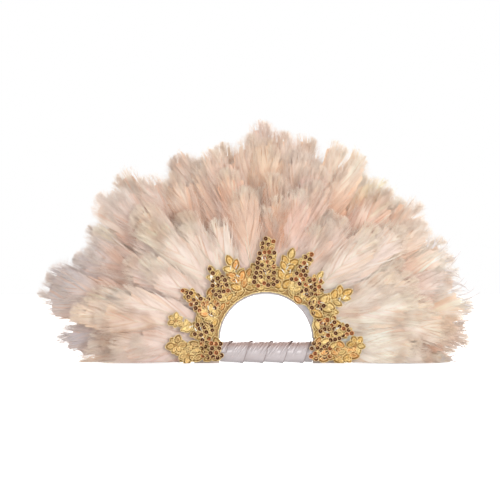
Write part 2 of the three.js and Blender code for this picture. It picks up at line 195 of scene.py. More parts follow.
class Strands:
    """Thin tapering strands with few-sided sections, and skins, gathered into one mesh."""

    def __init__(self):
        self.points = []
        self.tones = []
        self.charts = []
        self.grains = []
        self.ridges = []
        self.quads = []
        self.triangles = []
        self.count = 0

    def add(self, path, half_width, front, tone, chart, rng, sides, flatness):
        """Strands along paths of shape (strands, steps, 3) whose last point is the tip."""
        strands, steps = path.shape[:2]
        rings = steps - 1
        run = unit(np.gradient(path, axis=1), TINY)
        front = unit(front - run * (front * run).sum(axis=2, keepdims=True), TINY)
        side = np.cross(front, run)
        turns = FULL_TURN * np.arange(sides) / sides - math.pi / 6
        reach = half_width[..., None]
        corners = [path + reach * (side * math.cos(t) + front * flatness * math.sin(t)) for t in turns]
        ring = np.stack(corners, axis=2)[:, :rings].reshape(strands, -1, 3)
        self.points.append(np.concatenate([ring, path[:, -1:]], axis=1).reshape(-1, 3))
        self.tones.append(self.spread(tone, sides).reshape(-1, 3))
        offsets = np.linspace(-1, 1, sides)[None, :, None] * np.array([0.0, 0.0015])
        offsets = np.concatenate([np.tile(offsets, (1, rings, 1)), np.zeros((1, 1, 2))], axis=1)
        self.charts.append((self.spread(chart, sides) + offsets).reshape(-1, 2))
        self.grains.append(self.grain(path, half_width, np.cos(turns), rng))
        marks = np.tile(np.array([1, 0, 2]) if sides == 3 else np.zeros(sides, int), rings)
        marks[:sides] += ROOT_MARK
        self.ridges.append(np.tile(np.append(marks, TIP_MARK), strands))
        size = sides * rings + 1
        first = self.count + np.arange(strands)[:, None, None] * size
        self.quads.append((tube_faces(rings, sides)[None] + first).reshape(-1, 4))
        last = sides * (rings - 1)
        ends = [[last + k, last + (k + 1) % sides, size - 1] for k in range(sides)]
        ends += [[0, k + 1, k] for k in range(1, sides - 1)]
        self.triangles.append((np.array(ends)[None] + first).reshape(-1, 3))
        self.count += strands * size

    def add_sheet(self, outer, inner, tone, chart, grain):
        """A thin closed skin between two grids of points."""
        points, groups = sheet_solid(outer, inner)
        rows, columns = tone.shape[:2]
        marks = np.zeros((rows, 2 * columns), int)
        marks[:, [0, columns - 1]] = 1
        marks[:, [columns, -1]] = 2
        self.points.append(points)
        for store, values in ((self.tones, tone), (self.charts, chart), (self.grains, grain)):
            store.append(both_sides(values))
        self.ridges.append(marks.ravel())
        self.quads += [group + self.count for group in groups]
        self.count += len(points)

    def spread(self, values, sides):
        """Values at the steps of each path, repeated for the corners of its rings."""
        ring = np.repeat(values[:, :-1], sides, axis=1)
        return np.concatenate([ring, values[:, -1:]], axis=1)

    def grain(self, path, half_width, offsets, rng):
        """Millimetres across and along each strand, from a place of its own in the pattern."""
        pieces = np.linalg.norm(np.diff(path, axis=1), axis=2)
        along = np.concatenate([np.zeros((len(path), 1)), np.cumsum(pieces, axis=1)], axis=1)
        across = half_width[:, :-1, None] * offsets
        ring = np.stack([across, np.broadcast_to(along[:, :-1, None], across.shape)], axis=-1)
        tip = np.stack([0 * along[:, -1], along[:, -1]], axis=-1)
        places = np.concatenate([ring.reshape(len(path), -1, 2), tip[:, None]], axis=1)
        return (places + rng.uniform(0, 300, (len(path), 1, 2))).reshape(-1, 2)

    def mesh(self, name):
        """All the strands as one mesh."""
        stores = (self.points, self.tones, self.charts, self.grains, self.ridges)
        points, tones, chart, grain, ridge = (np.concatenate(store) for store in stores)
        faces = [np.concatenate(self.quads), np.concatenate(self.triangles)]
        return make_mesh(name, points, faces, tones, chart, grain=grain, ridge=ridge)


# Materials


def set_values(tree, node, **values):
    """Sets inputs by their names: a number or colour is written, and another node's output is linked."""
    for name, value in values.items():
        socket = node.inputs[name.replace("_", " ")]
        if isinstance(value, bpy.types.NodeSocket):
            tree.links.new(value, socket)
        else:
            socket.default_value = value


def add_node(tree, kind, **values):
    """A shader node with these values on its inputs."""
    node = tree.nodes.new("ShaderNode" + kind)
    set_values(tree, node, **values)
    return node


def new_material(name):
    """A material with its node tree, Principled shader and object coordinates."""
    made = bpy.data.materials.new(name)
    made.use_nodes = True
    tree = made.node_tree
    return made, tree, tree.nodes["Principled BSDF"], add_node(tree, "TexCoord").outputs["Object"]


def add_noise(tree, where, scale, detail=3.0, roughness=0.6):
    noise = add_node(tree, "TexNoise", Vector=where, Scale=scale, Detail=detail, Roughness=roughness)
    return noise.outputs["Fac"]


def stretch(tree, where, scale):
    """Coordinates drawn out by a scale along each axis."""
    return add_node(tree, "Mapping", Vector=where, Scale=scale).outputs["Vector"]


def add_ramp(tree, factor, low, low_colour, high, high_colour):
    """A colour ramp between two places with linear colours."""
    ramp = add_node(tree, "ValToRGB", Fac=factor)
    for element, place, colour in zip(ramp.color_ramp.elements, (low, high), (low_colour, high_colour)):
        element.position = place
        element.color = (*colour, 1)
    return ramp.outputs["Color"]


def add_product(tree, first, second):
    """Two colours multiplied."""
    product = tree.nodes.new("ShaderNodeMix")
    product.data_type = "RGBA"
    product.blend_type = "MULTIPLY"
    product.inputs["Factor"].default_value = 1
    tree.links.new(first, product.inputs["A"])
    tree.links.new(second, product.inputs["B"])
    return product.outputs["Result"]


def add_bump(tree, shader, height, strength, distance):
    bump = add_node(tree, "Bump", Height=height, Strength=strength, Distance=distance)
    set_values(tree, shader, Normal=bump.outputs["Normal"])


def add_surface(tree, kind, first, second, output, **values):
    """Two shaders joined by a node of a kind, as the surface of a material or world."""
    joined = add_node(tree, kind, **values)
    inputs = joined.inputs[-2:]
    tree.links.new(first.outputs[0], inputs[0])
    tree.links.new(second.outputs[0], inputs[1])
    set_values(tree, tree.nodes[output], Surface=joined.outputs[0])


def toned_material(name, scale, dark, low, high, detail=3.0):
    """A material in the colours that the mesh carries, with clouds of a darker tint."""
    made, tree, shader, where = new_material(name)
    tone = tree.nodes.new("ShaderNodeAttribute")
    tone.attribute_name = "tone"
    drift = add_ramp(tree, add_noise(tree, where, scale, detail), low, dark, high, WHITE)
    colour = add_product(tree, tone.outputs["Color"], drift)
    set_values(tree, shader, Base_Color=colour)
    return made, tree, shader, where, colour


def plumage_material():
    made, tree, shader, _, colour = toned_material("plumage", 24, (0.89, 0.81, 0.75), 0.32, 0.48, 2.0)
    chart = tree.nodes.new("ShaderNodeUVMap")
    chart.uv_map = "barb"
    barbs = add_noise(tree, stretch(tree, chart.outputs["UV"], (2.2, 0.06, 1)), 1.0, 2.0)
    streaks = add_ramp(tree, barbs, 0.3, (0.94, 0.92, 0.9), 0.66, WHITE)
    colour = add_product(tree, colour, streaks)
    set_values(tree, shader, Base_Color=colour, Roughness=0.75, Specular_IOR_Level=0.2)
    set_values(tree, shader, Sheen_Weight=0.2, Sheen_Roughness=0.5, Sheen_Tint=(1, 0.95, 0.9, 1))
    add_bump(tree, shader, barbs, 0.25, 0.0003)
    through = add_node(tree, "BsdfTranslucent", Color=colour)
    add_surface(tree, "MixShader", shader, through, "Material Output", Fac=0.25)
    return made


def satin_material():
    made, tree, shader, where, _ = toned_material("ribbon_satin", 60, (0.9, 0.87, 0.86), 0.3, 0.65)
    set_values(tree, shader, Roughness=0.24, Specular_IOR_Level=0.9)
    set_values(tree, shader, Sheen_Weight=0.1, Sheen_Roughness=0.35)
    add_bump(tree, shader, add_noise(tree, where, 1800, 2.0), 0.12, 0.0002)
    return made


def gold_material():
    made, tree, shader, where, _ = toned_material("gold_thread", 420, (0.5, 0.45, 0.38), 0.3, 0.66)
    set_values(tree, shader, Metallic=0.35, Roughness=0.36, Specular_IOR_Level=0.55)
    threads = add_node(tree, "TexWave", Vector=where, Scale=260, Distortion=4, Detail=2)
    add_bump(tree, shader, threads.outputs["Fac"], 0.35, 0.0003)
    return made


def glossy_material(name, scale, dark, **values):
    made, tree, shader, _, _ = toned_material(name, scale, dark, 0.35, 0.65)
    set_values(tree, shader, **values)
    return made


def wood_material(name, pale, dark):
    made, tree, shader, where = new_material(name)
    grain = add_noise(tree, stretch(tree, where, (18, 160, 160)), 1.0, 6.0, 0.65)
    set_values(tree, shader, Base_Color=add_ramp(tree, grain, 0.35, dark, 0.6, pale), Roughness=0.6)
    add_bump(tree, shader, grain, 0.2, 0.0003)
    return made


def tape_material():
    made, tree, shader, where = new_material("woven_tape")
    cloud = add_noise(tree, where, 120)
    colours = add_ramp(tree, cloud, 0.3, linear(205, 182, 166), 0.7, linear(226, 206, 190))
    set_values(tree, shader, Base_Color=colours, Roughness=0.85, Sheen_Weight=0.2)
    weave = add_node(tree, "TexBrick", Vector=where, Scale=900, Mortar_Size=0.03)
    add_bump(tree, shader, weave.outputs["Fac"], 0.3, 0.0002)
    return made


plumage = plumage_material()
satin = satin_material()
gold = gold_material()
bronze = glossy_material("bronze_sequin", 300, (0.75, 0.7, 0.65), Metallic=0.65, Roughness=0.3)
coated = {"Metallic": 0.45, "Roughness": 0.16, "Coat_Weight": 0.6, "Coat_Roughness": 0.08}
silver = glossy_material("silvered_bead", 500, (0.8, 0.78, 0.74), **coated)
woven = tape_material()

# Camera: square on to the front, with the 600 mm wide frame of the photograph
CAMERA_DISTANCE = 2.0
FRAME_WIDTH = 0.6
FRAME_CENTRE = (-0.0192, 0.1356)
SENSOR_WIDTH = 36
lens = bpy.data.cameras.new("camera")
lens.sensor_width = SENSOR_WIDTH
lens.lens = SENSOR_WIDTH * CAMERA_DISTANCE / FRAME_WIDTH
camera = bpy.data.objects.new("camera", lens)
camera.location = (FRAME_CENTRE[0], -CAMERA_DISTANCE, FRAME_CENTRE[1])
camera.rotation_euler = (math.pi / 2, 0, 0)
bpy.context.scene.collection.objects.link(camera)
bpy.context.scene.camera = camera

# Plumes

BLUSH = linear(249, 224, 211)
CREAM = linear(252, 229, 203)
SHELL = linear(253, 243, 232)
# This tan is painted shade, for the long plumes' bases and the middles of the front plumes at the top
TAN = linear(219, 174, 144)
GREY = linear(208, 204, 209)
OAT = linear(240, 223, 206)
IVORY = linear(242, 230, 212)
PALE = linear(252, 246, 240)
# A near white for the ends of loose hairs: partly their own paleness, partly painted light shining
# through
LIT_FLUFF = linear(253, 243, 233)
# Painted shade: the sheet under the locks is deeper in colour; a warmer colour has more red and less blue
UNDER_SHADE_TINT = np.array([0.98, 0.9, 0.84])
WARMER = np.array([0.3, 0.0, -1.0])

# How the locks of a feather grow: lengths in millimetres and angles in degrees
DOWN = Values(
    spacing=2.0, length=61, lean=24, width=2.6, clump=(4, 11),
    pull=0.06, wave=1.4, roll=0.12, hair=15, bare=4,
)
VANE = Values(
    spacing=2.1, length=69, lean=26, width=2.8, clump=(6, 16),
    pull=0.05, wave=1.3, roll=0.1, hair=16, bare=5,
)
MOST_LOCKS = 201
BARB_STEPS = 7
BARB_BEND = 0.6
LOCK_LIFT = 0.5
LOCK_FLATNESS = 0.05
RAGGED = 3
HAIRS = 9
HAIR_RADIUS = 0.12
SHEET_SHORT = 6.5
HAIR_OVER = 5

# Where plumes may be: held down by the lace up to one radius and free of it from another
HELD_TO = 84
FREE_FROM = 112
DEEPEST = 25
LOWEST = 1.5

# Other measures of a feather, the angle of the fan's top, and the brightest colour that is let through
HALF_VANE = 26
CHART_WIDTH = 110
TIP_MARGIN = 12
TOP_ANGLE = 92
BRIGHTEST = 0.95


def front_limit(radius):
    """How far forward plumes may stand at a radius: behind the lace, then free."""
    held = LACE_LEVEL - 0.7 + LACE_SLOPE * (radius - LACE_INNER)
    return np.minimum(held + 0.5 * np.maximum(0, radius - FREE_FROM), DEEPEST)


class Plume(Values):
    """One feather: the line of its rachis, out from the arch's centre, and its surface and colours."""

    def share(self, along):
        return np.clip((along - VANE_START) / (self.reach - VANE_START), 0, 1.2)

    def tip_line(self, across):
        """How far out the locks end, at a distance from the rachis."""
        return self.reach + self.slant * across - self.taper * across**2

    def place(self, along, across, lift):
        """The points at these places along and across the feather, lifted to the front."""
        turn = math.radians(self.angle)
        share = self.share(along)
        spread = np.sin(np.clip((along - ARCH_OUTER) / FULL_VANE_LENGTH, 0, 1) * math.pi / 2)
        side = across + self.bend * share**2
        depth = self.root_level + (self.full_level - self.root_level) * spread + self.curl * share**3
        depth = depth + self.climb * np.arctan2(side, along) * smooth(HELD_TO, 120, along) - lift
        depth = depth - self.crown * spread * (1 - (across / HALF_VANE) ** 2)
        if self.root_level < 0:
            depth = depth - 3.0 * smooth(FREE_FROM, HELD_TO, along)
        x = along * math.cos(turn) - side * math.sin(turn)
        z = ARCH_HEIGHT + along * math.sin(turn) + side * math.cos(turn)
        radius = np.hypot(x, z - ARCH_HEIGHT)
        depth = no_less(depth, -front_limit(radius), 0.8)
        depth = -no_less(-depth, -DEEPEST, 1.0)
        return np.stack([x, depth, no_less(z, LOWEST, 1.5)], axis=-1)

    def facing(self, along, across, lift):
        """The feather's normal, to the front, and its crosswise direction."""
        ahead = self.place(along + 0.5, across, lift) - self.place(along - 0.5, across, lift)
        aside = self.place(along, across + 0.5, lift) - self.place(along, across - 0.5, lift)
        return unit(np.cross(ahead, aside), TINY), unit(aside, TINY)

    def tone(self, along, lock, rng):
        """Colours from the base to the tip, with some difference from lock to lock."""
        base, middle, tip = self.colours
        shade = np.random.default_rng(int(1000 * self.reach + 7 * self.bend)).normal(0, 1, 2)
        shade = (1 + 0.035 * shade[0]) * (1 + 0.024 * shade[1] * WARMER)
        share = self.share(along) + rng.normal(0, 0.05, MOST_LOCKS)[lock][:, None]
        colour = blend(base, middle, smooth(self.turns - 0.2, self.turns + 0.2, share))
        colour = blend(colour, tip, smooth(0.7, 1.1, share))
        lighter = rng.normal(1, 0.02, len(lock)) * rng.normal(1, 0.025, MOST_LOCKS)[lock]
        warmth = rng.normal(0, 0.012, MOST_LOCKS)[lock]
        colour = colour * shade * lighter[:, None, None]
        return np.clip(colour * (1 + warmth[:, None, None] * WARMER), 0, BRIGHTEST)

    def chart(self, along, across):
        """The feather laid flat in its own column of the piece's chart."""
        index, count = self.column
        u = (index + np.clip(across / CHART_WIDTH + 0.5, 0.02, 0.98)) / count
        v = np.clip((along - QUILL_ROOT) / (self.reach + TIP_MARGIN - QUILL_ROOT), 0.01, 0.99)
        return np.stack([u, v], axis=-1)


def lay_strands(strands, plume, places, width, tone, rng, flatness, front=TO_FRONT, sides=3):
    """Adds strands that run along a plume: places are their steps along, across and lifted."""
    path = plume.place(*places)
    front = np.broadcast_to(front, path.shape)
    tone = np.broadcast_to(tone, path.shape)
    strands.add(path, width, front, tone, plume.chart(*places[:2]), rng, sides, flatness)


def lean_at(style, share):
    """How far barbs lean out from the rachis: wide at the down of the base, close at the tip."""
    return math.radians(style.lean) * (1 - 0.55 * share**3) * (1 + 0.5 * smooth(0.25, 0, share))


def length_at(style, share):
    """How long barbs are, which is less at the down of the base."""
    return style.length * (0.6 + 0.4 * smooth(0, 0.25, share))


def sweep_barbs(root, lean, length):
    """How far barbs run ahead of their roots and out from the rachis, at even steps along them."""
    turn = lean[:, None] * (1 - BARB_BEND * (np.arange(BARB_STEPS) + 0.5) / BARB_STEPS)
    none = np.zeros((len(root), 1))
    parts = (np.cumsum(part, axis=1) for part in (np.cos(turn), np.sin(turn)))
    ahead, out = (np.concatenate([none, part], axis=1) * length[:, None] / BARB_STEPS for part in parts)
    return ahead, out, turn


def make_ripple(rng):
    """Soft swells that follow the barbs of a vane, as a lift at each step along them."""
    waves = [(rng.uniform(24, 55), rng.uniform(0, FULL_TURN, 2), rng.uniform(0.5, 1.0)) for _ in range(3)]

    def ripple(root, steps, side):
        total = 0
        for period, phases, share in waves:
            total = total + share * np.sin(FULL_TURN * root / period + phases[(side + 1) // 2])
        return 0.8 * total[:, None] * steps**1.2

    return ripple


def grow_vane(strands, plume, style, last, rng, ripple):
    """The soft sheet of barbs that the locks of a feather lie on, as one thin skin."""
    root = np.linspace(BARB_START, last, int((last - BARB_START) / 3.2))
    steps = np.linspace(0, 1, BARB_STEPS + 1)
    share = plume.share(root)
    halves = []
    for side in (1, -1):
        scallop = 0.93 + 0.05 * np.sin(root / rng.uniform(2.5, 4) + rng.uniform(0, 6))
        scallop = scallop + 0.05 * np.sin(root / rng.uniform(5, 8) + rng.uniform(0, 6))
        length = length_at(style, share) * scallop
        ahead, out, _ = sweep_barbs(root, lean_at(style, share), length)
        room = plume.tip_line(side * out[:, -1]) - SHEET_SHORT - root
        cut = np.clip(room / ahead[:, -1], 0.1, 1)[:, None]
        run = length[:, None] * cut * steps
        lift = ripple(root, steps, side) - 0.5
        halves.append([root[:, None] + ahead * cut, side * out * cut, lift, run])
    pairs = zip(*halves)
    along, across, lift, run = (np.concatenate([a[:, ::-1], b[:, 1:]], axis=1) for a, b in pairs)
    # The sheet is tinted deeper as painted shade, so the gaps between the locks look shaded
    tone = plume.tone(along, np.arange(len(root)) // 2, rng) * UNDER_SHADE_TINT
    grain = np.stack([np.broadcast_to(0.5 * root[:, None], run.shape), run], axis=-1)
    grain = grain + rng.uniform(0, 300, 2)
    outer = plume.place(along, across, lift)
    inner = plume.place(along, across, lift - 0.3)
    strands.add_sheet(outer, inner, tone, plume.chart(along, across), grain)


def grow_hairs(strands, plume, style, places, turn, lock, side, rng):
    """Loose hairs that leave the outer half of the locks on one side of a rachis."""
    count = len(lock)
    number = HAIRS * count
    pick = rng.integers(0, count, number)
    at = rng.integers(BARB_STEPS // 2, BARB_STEPS + 1, number)
    along, across, lift = (values[pick, at][:, None] for values in places)
    heading = side * turn[pick, np.minimum(at, BARB_STEPS - 1)] + rng.normal(0, 0.2, number)
    hair = style.hair * rng.uniform(0.5, 1.3, (number, 1))
    over = along + hair - plume.tip_line(across) - HAIR_OVER
    hair = np.maximum(hair - np.maximum(over, 0), 3)
    part = np.array([0, 0.5, 1.0])
    angle = heading[:, None] + rng.normal(0, 0.4, (number, 1)) * part
    along = along + hair * part * np.cos(angle)
    across = across + hair * part * np.sin(angle)
    lift = lift + rng.normal(0.08, 0.34, (number, 1)) * hair * part**1.3
    width = HAIR_RADIUS * rng.uniform(0.7, 1.3, (number, 1)) * np.array([1.0, 0.8, 0.2])
    # Hairs grow paler to their ends, partly their own colour and partly painted light through fine barbs
    tone = blend(plume.tone(along, lock[pick], rng), LIT_FLUFF, 0.35 + 0.4 * part)
    lay_strands(strands, plume, (along, across, lift), width, tone, rng, 0.7)


def grow_locks(strands, plume, style, last, rng, ripple):
    """Flat soft locks on both sides of a rachis, with loose hairs at their ends."""
    steps = np.linspace(0, 1, BARB_STEPS + 1)
    for side in (-1, 1):
        count = int((last - BARB_START) / style.spacing)
        root = np.sort(rng.uniform(BARB_START, last, count))
        share = plume.share(root)
        edges = np.cumsum(rng.uniform(*style.clump, MOST_LOCKS - 1)) + BARB_START
        lock = np.searchsorted(edges, root)
        length = length_at(style, share) * rng.uniform(0.85, 1.08, count)
        length = length * rng.uniform(0.85, 1.1, MOST_LOCKS)[lock]
        lean = lean_at(style, share) * rng.normal(1, 0.1, count)
        lean = lean * rng.normal(1, 0.1, MOST_LOCKS)[lock]
        ahead, out, turn = sweep_barbs(root, lean, length)
        room = plume.tip_line(side * out[:, -1]) + rng.normal(0, RAGGED, MOST_LOCKS)[lock] - root
        cut = np.clip(room / ahead[:, -1], 0.12, 1)[:, None]
        along = root[:, None] + ahead * cut
        across = side * out * cut
        pace = rng.uniform(0.4, 1.0, MOST_LOCKS)[lock][:, None]
        phase = (rng.uniform(0, 1, MOST_LOCKS)[lock] + rng.normal(0, 0.1, count))[:, None]
        swing = FULL_TURN * (pace * steps + phase)
        lift = rng.normal(0, LOCK_LIFT, MOST_LOCKS)[lock] + rng.normal(0, 0.4 * LOCK_LIFT, count)
        lift = lift[:, None] * steps**1.4 + 0.25 * style.wave * np.sin(swing) * steps
        lift = lift + ripple(root, steps, side)
        veer = rng.normal(0, 1.3, MOST_LOCKS)[lock][:, None] * cut
        across = across + style.wave * np.cos(swing) * steps + veer * steps**2
        firsts = np.searchsorted(lock, np.arange(MOST_LOCKS + 1))
        guide = np.clip((firsts[lock] + firsts[lock + 1] - 1) // 2, 0, count - 1)
        pull = style.pull * steps**1.5
        places = [values + (values[guide] - values) * pull for values in (along, across, lift)]
        shape = (0.55 + 0.45 * smooth(0, 0.25, steps)) * (1 - 0.8 * steps**3)
        width = style.width / 2 * rng.uniform(0.75, 1.2, (count, 1)) * (0.4 + 0.6 * cut) * shape
        normal, aside = plume.facing(*places)
        front = normal + aside * rng.uniform(-style.roll, style.roll, (count, 1, 1))
        tone = plume.tone(places[0], lock, rng)
        lay_strands(strands, plume, places, width, tone, rng, LOCK_FLATNESS, front)
        grow_hairs(strands, plume, style, places, turn, lock, side, rng)


def grow_wisps(strands, plume, count, rng):
    """Pale bent points that stand out past the tip of a plume."""
    steps = np.linspace(0, 1, 8)
    foot = rng.uniform(-HALF_VANE, HALF_VANE, (count, 1))
    turn = 0.012 * foot + rng.normal(0, 0.25, (count, 1)) + rng.normal(0, 0.3, (count, 1)) * steps
    run = rng.uniform(18, 26, (count, 1)) * steps
    along = plume.tip_line(foot) - 8 + run * np.cos(turn)
    across = foot + run * np.sin(turn)
    lift = rng.uniform(0, 2, (count, 1)) + 1.5 * steps
    width = rng.uniform(0.9, 1.5, (count, 1)) * (1 - 0.9 * steps**1.5)
    lay_strands(strands, plume, (along, across, lift), width, (GREY + PALE) / 2, rng, 0.3)


def grow_rachis(strands, plume, radius, end_radius, lift, rng):
    """The shaft of a feather, from its quill to near its tip."""
    steps = 26
    along = np.linspace(QUILL_ROOT, plume.reach - TIP_MARGIN, steps)[None, :]
    places = (along, np.zeros_like(along), lift * np.ones_like(along))
    width = np.linspace(radius, end_radius, steps)[None, :]
    lay_strands(strands, plume, places, width, IVORY, rng, 1.0, sides=6)


def grow_feather(strands, plume, style, seed):
    """A feather's vane and locks, from the same soft swells, up to the bare end of its rachis."""
    rng = np.random.default_rng(seed)
    last = plume.reach - style.bare
    ripple = make_ripple(rng)
    grow_vane(strands, plume, style, last, rng, ripple)
    grow_locks(strands, plume, style, last, rng, ripple)


def tip_colour(angle):
    """Oat at the top; white at the right and grey at the left: own colour with painted light and shade.
    """
    colour = blend(SHELL, PALE, smooth(55, 20, angle))
    colour = blend(colour, OAT, 0.9 * math.exp(-(((angle - TOP_ANGLE) / 24) ** 2)))
    return blend(colour, GREY, smooth(130, 172, angle) * smooth(186, 176, angle))


def long_plume(name, angle, reach, facings, curl, seed, base, warm):
    """A plume of the long or the back row: soft vanes over each other on one root.

    facings gives each vane's level and crown, and how much shorter it is than the plume.
    base is its colour at the root, and warm the one that its middle may take up.
    """
    rng = np.random.default_rng(seed)
    strands = Strands()
    for index, (level, crown, short) in enumerate(facings):
        plume = Plume(root_level=QUILL_LEVEL, full_level=level, curl=curl, climb=15.3, crown=crown)
        plume.angle = angle + (0, -1, 1)[index] * rng.uniform(3.0, 5.0)
        plume.reach = reach - short * rng.uniform(0.6, 1.4)
        plume.slant = rng.normal(0, 0.35)
        plume.taper = rng.uniform(0.024, 0.046)
        plume.bend = rng.normal(0, 8)
        plume.column = (index, len(facings))
        middle = blend(BLUSH, warm, rng.uniform(0.2, 1.0) * (0.25 + 0.75 * smooth(130, 85, angle)))
        # Greyer middles at the left are partly their own colour and partly painted shade
        middle = blend(middle, GREY, 0.4 * smooth(145, 172, angle) * smooth(186, 176, angle))
        plume.colours = (base, middle, tip_colour(angle) * rng.uniform(0.97, 1.0))
        plume.turns = 0.66
        grow_feather(strands, plume, VANE, seed + VANE_SEED * index)
        grow_rachis(strands, plume, 1.0 if index == 0 else 0.7, 0.15, -0.3, rng)
        if index == 0 and angle < 30:
            grow_wisps(strands, plume, 9, rng)
    add_piece("feather_" + name, strands.mesh(name), [plumage], name)


# The vanes of a front plume: level, crown, share of the plume's length, and turn in degrees
FRONT_VANES = (
    (-9.5, -2.0, 0.95, 3.5),
    (-12.0, 2.5, 1.0, -2.5),
    (-14.5, 4.0, 0.85, 3.0),
    (-16.0, 4.0, 0.68, -4.5),
)


def front_plume(name, angle, reach, seed):
    """A plume of the front row: downy feathers of different lengths on one root."""
    rng = np.random.default_rng(seed)
    strands = Strands()
    for index, (level, crown, share, turn) in enumerate(FRONT_VANES):
        plume = Plume(root_level=-QUILL_LEVEL, full_level=level, curl=-4, climb=14.1, crown=crown)
        plume.taper = 0.031
        plume.angle = angle + (turn * rng.choice([-1, 1]) + rng.uniform(-1.5, 1.5))
        plume.reach = VANE_START + (reach - VANE_START) * share * rng.uniform(0.92, 1.06)
        plume.bend = rng.normal(0, 5)
        plume.slant = rng.normal(0, 0.2)
        plume.column = (index, len(FRONT_VANES))
        # Painted light and shade: front plumes are paler towards the viewer's right, where the key lamp
        # falls, and darker and tanner at the top
        top = math.exp(-(((angle - TOP_ANGLE) / 18) ** 2))
        pale = 0.3 + 0.5 * smooth(70, 10, angle) - 0.3 * top
        first = blend(BLUSH, SHELL, pale) * rng.uniform(0.97, 1.03)
        middle = blend(BLUSH, SHELL, pale + rng.uniform(-0.2, 0.3))
        plume.colours = (first, blend(middle, TAN, 0.8 * top), blend(SHELL, CREAM, 0.7))
        plume.turns = 0.3
        grow_feather(strands, plume, DOWN, seed + VANE_SEED * index)
        grow_rachis(strands, plume, 0.8, 0.12, rng.choice([-0.6, -0.2, 0.5]), rng)
    add_piece("feather_" + name, strands.mesh(name), [plumage], name)


# How far out each plume's tip stands, from the viewer's right to the left
LONG_REACHES = (222, 252, 245, 248, 240, 251, 250, 248, 243, 247, 266, 250, 279, 224)
BACK_REACHES = (241, 244, 247, 236, 249, 248, 262, 243, 246, 266, 255, 275, 238)
FRONT_REACHES = (197, 222, 186, 214, 178, 220, 190, 226, 182, 216, 192, 224, 198)
LOWEST_ANGLE = -5.0
LONG_PITCH = 190 / 13
FRONT_PITCH = 190 / 12

# The vanes of a long and of a back plume: level, crown and how much shorter than the plume
LONG_VANES = ((0.0, 1.5, 3), (-2.0, 4.5, 14), (2.5, -3.0, 26))
BACK_VANES = ((11.5, -1.0, 3), (14.0, -4.5, 22))

for i, reach in enumerate(LONG_REACHES):
    angle = LOWEST_ANGLE + LONG_PITCH * i
    # Painted shade: the base is tanner towards the top, where the long plumes lie behind the front row
    base = blend(BLUSH, TAN, 0.45 + 0.4 * math.sin(math.radians(angle)))
    long_plume(f"long_plume_{i + 1:02d}", angle, reach, LONG_VANES, 0, LONG_PLUME_SEED + i, base, CREAM)

for i, reach in enumerate(BACK_REACHES):
    angle = LOWEST_ANGLE + LONG_PITCH * (i + 0.5)
    base = blend(BLUSH, SHELL, 0.4)
    long_plume(f"back_plume_{i + 1:02d}", angle, reach, BACK_VANES, 5, BACK_PLUME_SEED + i, base, SHELL)

for i, reach in enumerate(FRONT_REACHES):
    angle = LOWEST_ANGLE + FRONT_PITCH * i
    front_plume(f"front_plume_{i + 1:02d}", angle, reach, FRONT_PLUME_SEED + i)

# Satin ribbon wound round the grip

SATIN = linear(188, 179, 180)
# Painted shade: the tint that darkens the lapped edge of each turn
LAP_SHADE = np.array([0.62, 0.56, 0.54])
# Painted shade and warm reflection: the tint that darkens and warms the top of the ribbon
TOP_SHADE = np.array([0.8, 0.62, 0.55])
RIBBON_WIDTH = 32.0
RIBBON_PITCH = 24.0
RIBBON_CORE = 10.8
RIBBON_RISE = 1.6
RIBBON_THICKNESS = 0.5
RIBBON_HALF_LENGTH = 55.0
RIBBON_TURNS = 6
RIBBON_START = -RIBBON_HALF_LENGTH - RIBBON_PITCH
STEPS_PER_TURN = 84
CREASE_PITCH = 4.6


def ribbon_crease(x, turn, rng):
    """Tension creases that run up and round the bar, leaning with the wind, each a ridge and a trough."""
    height = np.zeros_like(x)
    around = (turn + math.pi / 2) % FULL_TURN - math.pi / 2
    for foot in np.arange(-78, 66, CREASE_PITCH):
        foot = foot + rng.uniform(-2, 2)
        slope = rng.uniform(7, 10)
        low = rng.uniform(-0.6, 0.5)
        top = rng.uniform(0.7, 1.1)
        width = rng.uniform(0.62, 1.0)
        line = (x - foot - slope * around) / width
        fade = smooth(low - 0.3, low + 0.6, around) * smooth(top + 0.5, top, around)
        fold = np.exp(-(line**2)) - 0.6 * np.exp(-((line - 1.8) ** 2))
        height = height + rng.uniform(0.4, 1.35) * fold * fade
    return np.maximum(height, -0.35)


